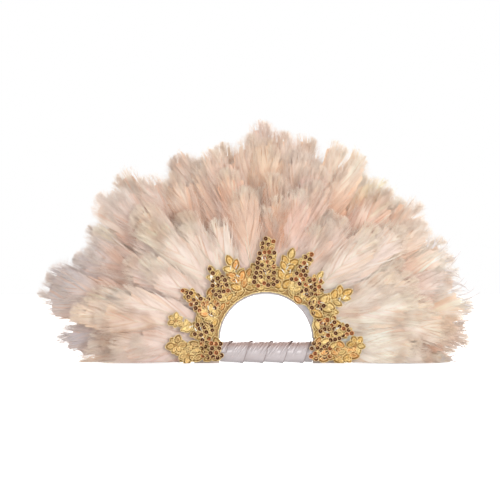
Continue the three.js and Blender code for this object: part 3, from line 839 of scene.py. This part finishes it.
def wound_ribbon():
    """The lapped ribbon, with painted shade at its laps, painted warm shade on top and painted light
    underneath.
    """
    rng = np.random.default_rng(RIBBON_SEED)
    angle = np.linspace(0, RIBBON_TURNS * FULL_TURN, RIBBON_TURNS * STEPS_PER_TURN + 1)
    start = RIBBON_START + RIBBON_PITCH * angle / FULL_TURN
    ends = (-RIBBON_HALF_LENGTH, RIBBON_HALF_LENGTH)
    low, high = (np.clip((end - start) / RIBBON_WIDTH, 0, 1) for end in ends)
    kept = high - low > 0.01
    angle, start, low, high = (values[kept] for values in (angle, start, low, high))
    across = low[:, None] + (high - low)[:, None] * np.linspace(0, 1, 65)
    x = start[:, None] + across * RIBBON_WIDTH
    turn = np.broadcast_to(angle[:, None], x.shape)
    crease = ribbon_crease(x, turn, rng)
    radius = RIBBON_CORE + 0.2 + across * RIBBON_RISE + 0.55 * smooth(0.9, 1.0, across)
    grids = []
    for lift in (RIBBON_THICKNESS + crease, crease * 0.7):
        reach = radius + lift
        grids.append(np.stack([x, -reach * np.cos(turn), GRIP_HEIGHT + reach * np.sin(turn)], axis=-1))
    points, faces = sheet_solid(*grids)
    rise = np.sin(turn)
    # Painted shade: a darker band along the outer edge of each turn, where it laps over the turn below
    tones = SATIN * (1 + (LAP_SHADE - 1) * smooth(0.955, 0.975, across)[..., None])
    # Painted shade: the top of the bar is darker and warmer, as if shaded and lit by the warm plumes
    # above
    tones = tones * (1 + (TOP_SHADE - 1) * smooth(0.2, 0.85, rise)[..., None])
    # Painted light: the underside is paler, as if lit from the white floor below
    tones = tones * (1 + 0.16 * smooth(0.1, -0.8, rise)[..., None])
    mesh = make_mesh("wound_ribbon", points, faces, both_sides(tones))
    piece = add_piece("wound_ribbon", mesh, [satin], "handle_ribbon")


wound_ribbon()


# Satin binding, tape and back cover


def sweep_strip(profile, thickness, from_angle, to_angle, steps, ripple, rng):
    """A strip with a profile of (radius, depth) points, swept round the arch and given a thickness."""
    angle = np.radians(np.linspace(from_angle, to_angle, steps))
    profile = np.array(profile, float)
    run = unit(np.gradient(profile, axis=0))
    normal = np.stack([run[:, 1], -run[:, 0]], axis=1)
    waves = np.zeros((steps, len(profile)))
    for _ in range(5):
        count = rng.uniform(8, 40)
        phase = rng.uniform(0, FULL_TURN)
        drift = rng.uniform(-1.5, 1.5)
        waves += np.sin(count * angle[:, None] + phase + drift * np.linspace(0, 1, len(profile)))
    waves *= ripple / 5
    grids = []
    for lift in (waves + thickness / 2, waves * 0.6 - thickness / 2):
        place = profile[None] + normal[None] * lift[..., None]
        x = place[..., 0] * np.cos(angle)[:, None]
        z = ARCH_HEIGHT + place[..., 0] * np.sin(angle)[:, None]
        grids.append(np.stack([x, place[..., 1], z], axis=-1))
    return sheet_solid(*grids)


def add_strip(name, node, slot, finish, tone, seed, sweep, flat, held):
    """A swept strip of cloth on the arch, in one tone unless its finish has its own colours."""
    points, faces = sweep_strip(*sweep, np.random.default_rng(seed))
    tones = None if tone is None else np.broadcast_to(tone, points.shape)
    piece = add_piece(name, make_mesh(name, points, faces, tones), [finish], node)


def round_corner(centre, radius, from_angle, to_angle):
    turns = np.radians(np.linspace(from_angle, to_angle, 7))
    return [(centre[0] + radius * math.cos(t), centre[1] + radius * math.sin(t)) for t in turns]


FACE = 2.75
fold = [(66 - k * 1.4, -FACE) for k in range(7)]
fold += round_corner((56.9, -1.2), 1.55, 270, 180)
fold += [(55.35, -0.4), (55.35, 0.4)]
fold += round_corner((56.9, 1.2), 1.55, 180, 90)
fold += [(57.6 + k * 1.4, FACE) for k in range(7)]
flat_tape = [(72 + 14 * k / 8, -5.3 - 0.12 * math.sin(math.pi * k / 8)) for k in range(9)]
swell = [(57 + 28.5 * k / 16, 5.35 + 1.6 * math.sin(math.pi * k / 16) ** 0.5) for k in range(16, -1, -1)]

# A sweep gives the profile, the thickness, the angles where it starts and ends, its steps and its ripple
hem_sweep = (fold, 0.45, ARC_START, ARC_END, 150, 0.18)
tape_sweep = (flat_tape, 0.5, -5, 185, 120, 0.12)
back_sweep = (swell, 0.5, ARC_START, ARC_END, 150, 0.3)

# The strips: name, node, slot, finish, tone, seed, sweep, flat size in metres and how it is held
STRIPS = (
    ("satin_binding", "edge_binding", "satin", satin, 0.75 * SATIN,
     BINDING_SEED, hem_sweep, (0.0262, 0.182), "folded"),
    ("sewn_tape", "quill_tape", "quill_tape", woven, None,
     TAPE_SEED, tape_sweep, (0.014, 0.262), "laid"),
    ("satin_back", "back_cover", "satin", satin, SATIN,
     BACK_SEED, back_sweep, (0.031, 0.22), "stretched"),
)
for strip in STRIPS:
    add_strip(*strip)


def back_stitches():
    """Running stitches along both edges of the back cover."""
    strands = Strands()
    rng = np.random.default_rng(STITCH_SEED)
    depths = 6.3 + np.array([-0.4, 0.5, 0.6, 0.5, -0.4])
    for radius in (59.5, 83.0):
        middle = np.arange(4, 176, math.degrees(4.2 / radius))
        turn = np.radians(middle[:, None] + np.linspace(-1.35, 1.35, 5) * math.degrees(1 / radius))
        depth = np.broadcast_to(depths, turn.shape)
        path = np.stack([radius * np.cos(turn), depth, ARCH_HEIGHT + radius * np.sin(turn)], axis=-1)
        front = np.broadcast_to(-TO_FRONT, path.shape)
        tone = np.broadcast_to(IVORY, path.shape)
        chart = np.stack([turn / math.pi, depth / 10], axis=-1)
        strands.add(path, np.full(turn.shape, 0.3), front, tone, chart, rng, sides=5, flatness=0.8)
    add_piece("back_stitches", strands.mesh("back_stitches"), [woven], "back_cover")


back_stitches()

# Gold lace

PALE_GOLD = linear(232, 198, 126)
YELLOW_GOLD = linear(220, 174, 90)
ORANGE_GOLD = linear(216, 152, 80)
DULL_GOLD = linear(198, 158, 92)
CORD_GOLD = linear(252, 228, 168)
GROUND_GOLD = linear(168, 132, 76)
# Partly the cloth's own colour and partly painted shade in the gap between padding and cord
GAP_SHADE_BROWN = linear(184, 138, 78)
DARK_BRONZE = linear(84, 42, 24)
MID_BRONZE = linear(140, 78, 44)
# A painted highlight for sequin rims
RIM_HIGHLIGHT_GOLD = linear(244, 216, 160)
BEAD_GOLD = linear(206, 166, 108)
SILVER = linear(240, 236, 226)
GOLD_FINISH = 0
BRONZE_FINISH = 1
SILVER_FINISH = 2
SEQUIN_GAP = 5.1
SEQUIN_TRIES = 900
LEAF_GAP = 7.4
LEAF_TRIES = 4000
EDGE_POINTS = 24
LACE_LAYER = 1.3
# The curve of a stem is how far it turns over this length
CURVE_LENGTH = 50


def make_shape(points, faces, shade, rim=0.0):
    """A small shape of unit size: along x, across y, and z out of the cloth."""
    return Values(points=points, faces=faces, shade=shade, rim=np.broadcast_to(rim, len(points)))


def leaf_width(s):
    """Half the width of a leaf of unit size, from its stalk to its point."""
    return 0.5 * np.sin(math.pi * np.clip(s, 0, 1) ** 0.85) ** 0.62


def leaf_shape():
    """The padding of a leaf, with a groove down its middle."""
    s = np.linspace(0.02, 0.98, 13)[:, None]
    t = np.linspace(-1, 1, 7)[None, :]
    dome = np.sqrt(np.clip(1 - t**2, 0, 1)) * np.sin(math.pi * s) ** 0.4
    groove = 0.4 * np.exp(-((t / 0.2) ** 2)) * np.sin(math.pi * s)
    top = np.stack([s + 0 * t, leaf_width(s) * t, np.maximum(dome - groove, 0)], axis=-1)
    under = top.copy()
    under[..., 2] = -0.15
    points, faces = sheet_solid(top, under)
    # Painted light and shade: the padding is lighter on its top and darker in its groove and at its edges
    return make_shape(points, faces, np.clip(0.7 + 0.38 * points[:, 2], 0.6, 1.1))


def leaf_outline():
    """The edge of a leaf of unit size."""
    s = np.linspace(0, 1, EDGE_POINTS // 2 + 1)
    right = np.stack([s, leaf_width(s)], axis=1)
    left = np.stack([s, -leaf_width(s)], axis=1)[::-1][1:-1]
    return np.concatenate([right, left])


def patch_shape():
    """A thin flat leaf, the cloth that shows between the padding and the cord round it."""
    edge = leaf_outline()
    count = len(edge)
    points = np.concatenate([np.insert(edge, 2, level, axis=1) for level in (1.0, -1.0)])
    near = np.arange(count)
    after = (near + 1) % count
    sides = np.stack([near, near + count, after + count, after], axis=1)
    middle = np.arange(1, count - 1)
    face = np.stack([np.zeros_like(middle), middle, middle + 1], axis=1)
    return make_shape(points, [sides, face, face[:, ::-1] + count], np.ones(len(points)))


def tube_points(path, run, radius, height, sides):
    """Rings of points round a path in the flat that heads along run, at a height over the cloth."""
    run = unit(run)
    normal = np.stack([run[:, 1], -run[:, 0]], axis=1)
    turn = np.linspace(0, FULL_TURN, sides, endpoint=False)
    flat = path[:, None, :] + normal[:, None, :] * (radius * np.cos(turn))[None, :, None]
    up = np.broadcast_to(height + radius * np.sin(turn), flat.shape[:2])
    return np.concatenate([flat, up[..., None]], axis=2).reshape(-1, 3)


def loop_shape(path, radius):
    """A closed loop of cord along a path of points in the flat."""
    run = np.roll(path, -1, axis=0) - np.roll(path, 1, axis=0)
    points = tube_points(path, run, radius, 0.0, 5)
    faces = tube_faces(len(path) + 1, 5) % len(points)
    # Painted light and shade: the cord is lighter on top and darker underneath
    return make_shape(points, [faces], 0.82 + 0.22 * np.clip(points[:, 2] / radius, -1, 1))


def lathe_shape(profile, shade, rim, sides):
    """A ring with a section of (radius, height) points about the axis out of the cloth."""
    turn = np.linspace(0, FULL_TURN, sides, endpoint=False)
    profile = np.array(profile, float)
    ring = profile[:, None, 0:1] * np.stack([np.cos(turn), np.sin(turn)], axis=1)[None]
    height = np.broadcast_to(profile[:, None, 1:2], (*ring.shape[:2], 1))
    points = np.concatenate([ring, height], axis=2).reshape(-1, 3)
    faces = tube_faces(len(profile) + 1, sides) % len(points)
    rims = np.repeat(np.broadcast_to(rim, len(profile)), sides)
    return make_shape(points, [faces[:, ::-1]], np.repeat(shade, sides), rims)


LEAF = leaf_shape()
PATCH = patch_shape()
cup = [(0.14, 0.05), (0.5, 0.08), (0.84, 0.28), (0.95, 0.36)]
cup += [(1.06, 0.4), (1.08, 0.32), (0.9, 0.16), (0.5, 0)]
# The sequin's rim is brighter in shade and takes the rim colour: a painted highlight
SEQUIN = lathe_shape(cup, [0.8, 1.0, 1.2, 1.2, 1.2, 1.0, 1.0, 0.8], [0, 0, 0, 0.5, 1, 1, 0.3, 0], 11)
ball = [(0.12, 0.98), (0.6, 0.8), (1.0, 0.0), (0.6, -0.8), (0.12, -0.98)]
# Painted light and shade: the bead is lighter on top and darker underneath
BEAD = lathe_shape(ball, [1.2, 1.1, 1.0, 0.8, 0.6], 0.0, 8)
# A bugle bead is a short tube with a hole through it, turned to lie along x
tube = [(0.3, -0.5), (0.45, -0.5), (0.5, -0.44), (0.5, 0.44), (0.45, 0.5), (0.3, 0.5)]
BUGLE = lathe_shape(tube, np.ones(len(tube)), 0.0, 7)
BUGLE.points = np.roll(BUGLE.points, 1, axis=1)


def cone_surface(x, z, layer):
    """How far forward the lace lies at a place, measured from the arch's centre."""
    return LACE_LEVEL + LACE_SLOPE * np.maximum(0, np.hypot(x, z) - LACE_INNER) + layer


def grip_surface(x, z, layer):
    """The same over an end of the grip, from which the spray falls back to the plumes."""
    over_bar = 13.6 + layer - 6.0 * smooth(58, 84, np.abs(x))
    return np.maximum(over_bar, cone_surface(x, z, LACE_LAYER + layer))


class Lace:
    """Leaves, cords, sequins and beads sewn on one surface, gathered into one mesh."""

    def __init__(self, surface, layer):
        self.surface = surface
        self.layer = layer
        self.points = []
        self.tones = []
        self.faces = []
        self.finishes = []
        self.count = 0

    def put(self, points, faces, tones, finish):
        """Adds points given as x, z and height, with one finish."""
        x, z, height = points.T
        y = -(self.surface(x, z, self.layer) + height)
        self.points.append(np.stack([x, y, no_less(z + ARCH_HEIGHT, 0.6, 0.3)], axis=1))
        self.tones.append(tones)
        for group in faces:
            self.faces.append(group + self.count)
            self.finishes.append(np.full(len(group), finish))
        self.count += len(points)

    def stamp(self, shape, place, size, turn, height, tone, finish, tilt=(0, 0)):
        """Copies a small shape to a place."""
        local = shape.points * np.array(size)
        up = local[:, 2] + height + local[:, 0] * tilt[0] + local[:, 1] * tilt[1]
        cos = math.cos(turn)
        sin = math.sin(turn)
        x = place[0] + local[:, 0] * cos - local[:, 1] * sin
        z = place[1] + local[:, 0] * sin + local[:, 1] * cos
        # A shape's shade and rim shares paint light and shade on it, and a highlight on its rim
        colour = tone * shape.shade[:, None]
        colour = colour + (RIM_HIGHLIGHT_GOLD - colour) * shape.rim[:, None]
        self.put(np.stack([x, z, up], axis=-1), shape.faces, np.clip(colour, 0, BRIGHTEST), finish)

    def leaf(self, place, length, width, turn, height, tone, tilt):
        """One padded leaf on its patch of cloth, with a cord round it and another on it."""
        outer_cord = loop_shape(leaf_outline() * np.array([length, width]), 0.5)
        inner_cord = loop_shape(leaf_outline() * np.array([0.5 * length, 0.44 * width]), 0.34)
        cord_tone = CORD_GOLD * (0.85 + 0.15 * tone / tone.max())
        # The patch shows in brown between padding and cord, partly as painted shade
        layers = (
            (PATCH, (length, width, 0.2), 0, 0, GAP_SHADE_BROWN),
            (LEAF, (0.8 * length, 0.76 * width, 0.14 * width), 0.09, 0.2, tone),
            (outer_cord, (1, 1, 1), 0, 0.35, cord_tone),
            (inner_cord, (1, 1, 1), 0.24, 0.14 * width, cord_tone),
        )
        for shape, size, inset, rise, colour in layers:
            spot = place + inset * length * direction(turn)
            up = height + inset * length * tilt[0] + rise
            self.stamp(shape, spot, size, turn, up, colour, GOLD_FINISH, tilt)

    def cord(self, path, radius, height):
        """A cord along points in the flat."""
        path = np.asarray(path, float)
        points = tube_points(path, np.gradient(path, axis=0), radius, height, 6)
        cap = np.array([[0, 5, 4], [0, 4, 3], [0, 3, 2], [0, 2, 1]])
        faces = [tube_faces(len(path), 6), cap, cap[:, ::-1] + len(points) - 6]
        self.put(points, faces, np.broadcast_to(CORD_GOLD, points.shape), GOLD_FINISH)

    def sequin(self, place, radius, height, tone, tilt, turn):
        """A cup sequin with a seed bead in it."""
        self.stamp(SEQUIN, place, (radius, radius, radius * 0.9), turn, height, tone, BRONZE_FINISH, tilt)
        self.stamp(BEAD, place, (radius * 0.2,) * 3, 0, height + 0.28 * radius, BEAD_GOLD, BRONZE_FINISH)

    def piece(self, name, node):
        stores = (self.points, self.tones, self.finishes)
        points, tones, finishes = (np.concatenate(store) for store in stores)
        mesh = make_mesh(name, points, self.faces, tones, None, finishes)
        add_piece(name, mesh, [gold, bronze, silver], node)


def along_stem(root, heading, curve, distance):
    """The place and the heading at a distance along a curved stem."""
    steps = np.linspace(0, distance, 12)
    turn = heading + curve * steps / CURVE_LENGTH
    move = np.stack([np.cos(turn), np.sin(turn)], axis=1)
    walked = (move[1:] + move[:-1]) / 2 * np.diff(steps)[:, None]
    return np.asarray(root) + walked.sum(axis=0), heading + curve * distance / CURVE_LENGTH


def beside(place, turn, distance):
    """A place at a distance to the left of a heading."""
    return place + distance * np.array([-math.sin(turn), math.cos(turn)])


def add_leaves(lace, rng, stem, first, last, leaf, tones):
    """Pairs of leaves along a stem between two distances, smaller to the end, and one leaf at its end."""
    span = max(last - first - leaf * 0.75, 1)
    count = max(1, int(round(span / (leaf * 0.56))))
    for k in range(count):
        place, turn = along_stem(*stem, first + span * (k + rng.uniform(-0.2, 0.2)) / count + 0.4)
        for side in (-1, 1):
            lean = turn + side * math.radians(rng.uniform(36, 64))
            size = leaf * rng.uniform(0.9, 1.15) * (1.12 - 0.3 * k / count)
            tone = tones[rng.integers(len(tones))] * rng.uniform(0.85, 1.08)
            tilt = (rng.uniform(-0.02, 0.12), rng.uniform(-0.2, 0.2))
            width = size * rng.uniform(0.58, 0.7)
            lace.leaf(place, size, width, lean, rng.uniform(0.2, 1.0), tone, tilt)
    place, turn = along_stem(*stem, last - leaf)
    lace.leaf(place, leaf, leaf * 0.62, turn, 0.7, tones[0], (0.05, 0))


def is_free(spot, taken, gap):
    """Notes a spot as taken, unless it is nearer than gap to one that was taken before."""
    free = all(np.hypot(*(spot - other)) >= gap for other in taken)
    if free:
        taken.append(spot)
    return free


def add_sequins(lace, rng, stem, first, last, half_start, half_end):
    """Cup sequins strewn about a stem between two distances, close but not touching."""
    taken = []
    for _ in range(SEQUIN_TRIES):
        share = rng.uniform()
        place, turn = along_stem(*stem, first + (last - first) * share + 0.01)
        half = half_start + (half_end - half_start) * share
        spot = beside(place, turn, rng.uniform(-half, half))
        if is_free(spot, taken, SEQUIN_GAP):
            tone = DARK_BRONZE if rng.uniform() < 0.75 else MID_BRONZE
            tilt = rng.normal(0, 0.22, 2)
            lace.sequin(spot, rng.uniform(2.5, 3.0), 2.1 + rng.uniform(0, 0.6), tone, tilt, turn)


def add_bugles(lace, rng, stem, places):
    """A few bugle beads near a stem, at these distances along it."""
    for distance in places:
        place, turn = along_stem(*stem, distance)
        spot = beside(place, turn, rng.uniform(-5, 5))
        lean = turn + rng.uniform(-0.9, 0.9)
        lace.stamp(BUGLE, spot, (5.0, 1.2, 1.2), lean, 2.4, SILVER, SILVER_FINISH)


def add_flower(lace, rng, place, petal, tones):
    """A round flower of six broad petals with beads in its middle."""
    first = rng.uniform(0, 1)
    for k in range(6):
        turn = FULL_TURN * (k + first) / 6 + rng.uniform(-0.15, 0.15)
        size = petal * rng.uniform(0.9, 1.1)
        tone = tones[rng.integers(len(tones))] * rng.uniform(0.8, 1.05)
        tilt = (rng.uniform(0.0, 0.12), rng.uniform(-0.15, 0.15))
        width = size * rng.uniform(0.72, 0.84)
        lace.leaf(place + direction(turn), size, width, turn, 0.5 + 0.5 * (k % 2), tone, tilt)
    for turn in np.linspace(0, FULL_TURN, 5)[:4]:
        lace.stamp(BEAD, place + 1.3 * direction(turn), (0.9, 0.9, 0.9), 0, 2.2, BEAD_GOLD, BRONZE_FINISH)


# The sprays, from the viewer's right to the left, on the same roots and headings as the solids: degrees
# round the arch, heading, length, leaf, golds and patches of sequins. A patch gives the shares of the
# stem where it starts and ends, and its half width at both.
SPRAYS = (
    (3, 18, 40, 11, (DULL_GOLD, PALE_GOLD), [(0.05, 0.97, 11, 5)]),
    (35, 20, 56, 15, (YELLOW_GOLD, PALE_GOLD), [(0, 0.3, 7, 6)]),
    (46, 60, 43, 11, (PALE_GOLD, YELLOW_GOLD), [(0.2, 0.75, 9, 7)]),
    (60, 72, 54, 10, (PALE_GOLD, DULL_GOLD), [(0.25, 0.97, 8, 3)]),
    (73, 78, 51, 15, (PALE_GOLD, YELLOW_GOLD), []),
    (90, 93, 59, 14, (PALE_GOLD, DULL_GOLD), [(0.02, 0.97, 15, 6)]),
    (115, 111, 48, 15, (YELLOW_GOLD, ORANGE_GOLD, PALE_GOLD), []),
    (136, 114, 50, 12, (PALE_GOLD, YELLOW_GOLD), [(0.2, 0.65, 11, 8), (0.78, 0.97, 2, 2)]),
    (157, 138, 55, 12, (ORANGE_GOLD, YELLOW_GOLD, PALE_GOLD), [(0.4, 0.65, 8, 7), (0.78, 0.97, 4, 2)]),
    (177, 155, 46, 11, (DULL_GOLD, PALE_GOLD), [(0.05, 0.5, 9, 7)]),
)
SPRAY_ROOT = 64.0

for i, (at, heading, length, leaf, golds, patches) in enumerate(SPRAYS):
    rng = np.random.default_rng(SPRAY_SEED + i)
    lace = Lace(cone_surface, LACE_LAYER * (1 + i % 2))
    root = SPRAY_ROOT * direction(math.radians(at))
    heading = math.radians(heading)
    stem = (root, heading, rng.uniform(-0.25, 0.25))
    lace.cord([along_stem(*stem, length * k / 10 + 0.01)[0] for k in range(11)], 0.6, 0.9)
    add_leaves(lace, rng, stem, 2, length, leaf, golds)
    for first, last, half_start, half_end in patches:
        add_sequins(lace, rng, stem, length * first, length * last, half_start, half_end)
    add_bugles(lace, rng, stem, length * rng.uniform(0.1, 0.8, 4))
    if i == len(SPRAYS) - 1:
        add_flower(lace, rng, root + (length + 2) * direction(heading), 8.5, (DULL_GOLD, PALE_GOLD))
    lace.piece(f"sewn_spray_{i + 1:02d}", f"lace_spray_{i + 1:02d}")


def strew_leaves(lace, rng, golds, pick):
    """Leaves sewn close together over a patch, at the places and headings that pick gives."""
    taken = []
    for _ in range(LEAF_TRIES):
        spot, lean = pick()
        if is_free(spot, taken, LEAF_GAP):
            length = rng.uniform(12.5, 15.5)
            start = spot - 0.5 * length * direction(lean)
            tone = golds[rng.integers(len(golds))] * rng.uniform(0.82, 1.05)
            tilt = (rng.uniform(-0.06, 0.06), rng.uniform(-0.2, 0.2))
            width = length * rng.uniform(0.56, 0.68)
            lace.leaf(start, length, width, lean, rng.uniform(0.5, 1.6), tone, tilt)


def grip_spray(side, name, golds):
    """Lace over an end of the grip and the leg of the arch: strewn leaves, two flowers and sequins."""
    rng = np.random.default_rng(GRIP_SEED + side)
    lace = Lace(grip_surface, 0.2)
    middle = GRIP_HEIGHT - ARCH_HEIGHT

    def pick():
        x = rng.uniform(59, 104)
        rise = rng.uniform(-9, 15 - 0.1 * (x - 59))
        lean = math.atan2(rise, x - 50) + rng.uniform(-0.9, 0.9)
        return np.array([x * side, middle + rise]), lean if side > 0 else math.pi - lean

    strew_leaves(lace, rng, golds, pick)
    for x, rise in ((107, 9), (93, -3)):
        add_flower(lace, rng, np.array([x * side, middle + rise]), 11, golds)
    stem = (np.array([51.0 * side, middle + 2]), 0 if side > 0 else math.pi, 0.0)
    add_sequins(lace, rng, stem, 2, 26, 10, 9)
    lace.piece(f"sewn_grip_spray_{name}", f"grip_spray_{name}")


# The left spray is in darker golds: partly their own colour, partly painted shade at the lower left
grip_spray(-1, "left", (DULL_GOLD, DULL_GOLD, GROUND_GOLD))
grip_spray(1, "right", (YELLOW_GOLD, PALE_GOLD, ORANGE_GOLD))


def bare_edge(angle):
    """How far the net is cut back at an angle round the arch, where the satin shows at the right."""
    return 5.5 * smooth(16, 26, np.degrees(angle)) * smooth(50, 40, np.degrees(angle))


def lace_net():
    """The net round the opening that carries the leaves."""
    scallops = 11
    scallop_steps = 12
    count = scallops * scallop_steps + 1
    angle = np.radians(np.linspace(ARC_START, ARC_END, count))
    scallop = 3 * (np.abs(np.sin(math.pi * np.arange(count) / scallop_steps)) - 1)
    bare = bare_edge(angle)
    radius = LACE_INNER + bare[:, None] + (27 + scallop - bare)[:, None] * np.linspace(0, 1, 9)
    x = radius * np.cos(angle)[:, None]
    z = radius * np.sin(angle)[:, None]
    grids = [np.stack([x, -cone_surface(x, z, level), z + ARCH_HEIGHT], axis=-1) for level in (0.4, 0.0)]
    points, faces = sheet_solid(*grids)
    faces = [group[:, ::-1] for group in faces]
    mesh = make_mesh("lace_net", points, faces, np.broadcast_to(GROUND_GOLD, points.shape))
    piece = add_piece("lace_net", mesh, [gold], "lace_band")


# Where sequins are sewn close together on the band: degrees round it and the middle's radius
BAND_CLUSTERS = ((14, 76), (47, 80), (66, 77), (90, 76), (123, 80), (150, 79), (172, 75))


def lace_band():
    """The cords, leaves, sequins and beads sewn on the net."""
    rng = np.random.default_rng(BAND_SEED)
    lace = Lace(cone_surface, 0)
    turns = np.radians(np.linspace(ARC_START, ARC_END, 200))
    for reach, wave in ((LACE_INNER + 0.8, 0.4), (LACE_INNER + 13, 2.5), (LACE_INNER + 22, 2.5)):
        line = np.maximum(reach + wave * np.sin(turns * 34 + reach), LACE_INNER + 0.8 + bare_edge(turns))
        lace.cord(np.stack([line * np.cos(turns), line * np.sin(turns)], axis=1), 0.7, 0.8)

    def pick():
        at = rng.uniform(3, 177)
        turn = math.radians(at)
        reach = rng.uniform(68 if 16 < at < 50 else 61.5, 88)
        lean = turn + rng.choice([-1, 1]) * (rng.uniform(0.3, 1.5) if reach > 66 else 1.5)
        return reach * direction(turn), lean

    strew_leaves(lace, rng, (PALE_GOLD, YELLOW_GOLD, PALE_GOLD, ORANGE_GOLD, DULL_GOLD), pick)
    for at, reach in BAND_CLUSTERS:
        turn = math.radians(at)
        stem = ((reach - 9) * direction(turn), turn, 0.0)
        add_sequins(lace, rng, stem, 0, 18, 9, 8)
        add_bugles(lace, rng, stem, (3, 14))
    lace.piece("sewn_lace_band", "lace_band")


lace_net()
lace_band()

# Wood

board_wood = wood_material("limed_wood", linear(228, 212, 202), linear(208, 190, 180))
bar_wood = wood_material("turned_wood", linear(222, 206, 198), linear(200, 182, 174))
for node, finish in (("arch_board", board_wood), ("handle_dowel", bar_wood)):
    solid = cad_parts[node]
    solid.data.materials.clear()
    solid.data.materials.append(finish)


# Light, floor and background

FLOOR_GLOW = 0.75
FLOOR_LEVEL = -0.2
FLOOR_HALF = 3000.0
WORLD_STRENGTH = 0.57
LIT_POINT = np.array([0, 0, 0.14])

# The lamps: name, place and size in metres, and power in watts
LAMPS = (
    ("key", (1.35, -1.85, 0.6), 1.2, 26),
    ("fill", (-0.15, -2.4, 0.35), 0.8, 9),
    ("back", (0.2, 2.0, 0.9), 1.6, 20),
    ("left", (-2.3, 0.0, 0.5), 1.6, 21),
    ("right", (2.3, 0.0, 0.5), 1.6, 21),
    ("top", (0.0, 0.0, 2.4), 1.6, 15),
)


def seen_directly(tree):
    """1 on rays from the camera and on those that gloss or glass send on."""
    rays = add_node(tree, "LightPath")
    seen = rays.outputs["Is Camera Ray"]
    for kind in ("Is Glossy Ray", "Is Transmission Ray"):
        either = add_node(tree, "Math")
        either.operation = "MAXIMUM"
        tree.links.new(seen, either.inputs[0])
        tree.links.new(rays.outputs[kind], either.inputs[1])
        seen = either.outputs[0]
    return seen


def white_world(strength):
    world = bpy.data.worlds.new("studio")
    bpy.context.scene.world = world
    world.use_nodes = True
    tree = world.node_tree
    plain = tree.nodes["Background"]
    set_values(tree, plain, Color=(1, 1, 1, 1), Strength=strength)
    white = add_node(tree, "Background", Color=(1, 1, 1, 1), Strength=1.0)
    add_surface(tree, "MixShader", plain, white, "World Output", Fac=seen_directly(tree))


def floor_material():
    made, tree, shader, _ = new_material("white_floor")
    set_values(tree, shader, Base_Color=(0.82, 0.82, 0.82, 1), Roughness=0.9, Specular_IOR_Level=0.0)
    level = add_node(tree, "Math")
    level.operation = "MULTIPLY"
    level.inputs[1].default_value = FLOOR_GLOW
    tree.links.new(seen_directly(tree), level.inputs[0])
    glow = add_node(tree, "Emission", Color=(1, 1, 1, 1), Strength=level.outputs[0])
    add_surface(tree, "AddShader", shader, glow, "Material Output")
    return made


def add_floor():
    corners = ((-1, -1), (1, -1), (1, 1), (-1, 1))
    points = np.array([[x * FLOOR_HALF, y * FLOOR_HALF, FLOOR_LEVEL] for x, y in corners])
    mesh = make_mesh("floor", points, [np.array([[0, 1, 2, 3]])])
    floor = bpy.data.objects.new("floor", mesh)
    mesh.materials.append(floor_material())
    bpy.context.scene.collection.objects.link(floor)


def add_lamp(name, place, size, power):
    """A round soft lamp that points at the fan."""
    lamp = bpy.data.lights.new(name, "AREA")
    lamp.shape = "DISK"
    lamp.size = size
    lamp.energy = power
    holder = bpy.data.objects.new(name, lamp)
    holder.location = place
    x, y, z = LIT_POINT - np.array(place)
    holder.rotation_euler = (math.atan2(math.hypot(x, y), -z), 0, math.atan2(y, x) - math.pi / 2)
    bpy.context.scene.collection.objects.link(holder)


add_floor()
white_world(WORLD_STRENGTH)
for lamp in LAMPS:
    add_lamp(*lamp)
bpy.context.scene.view_settings.view_transform = "Standard"
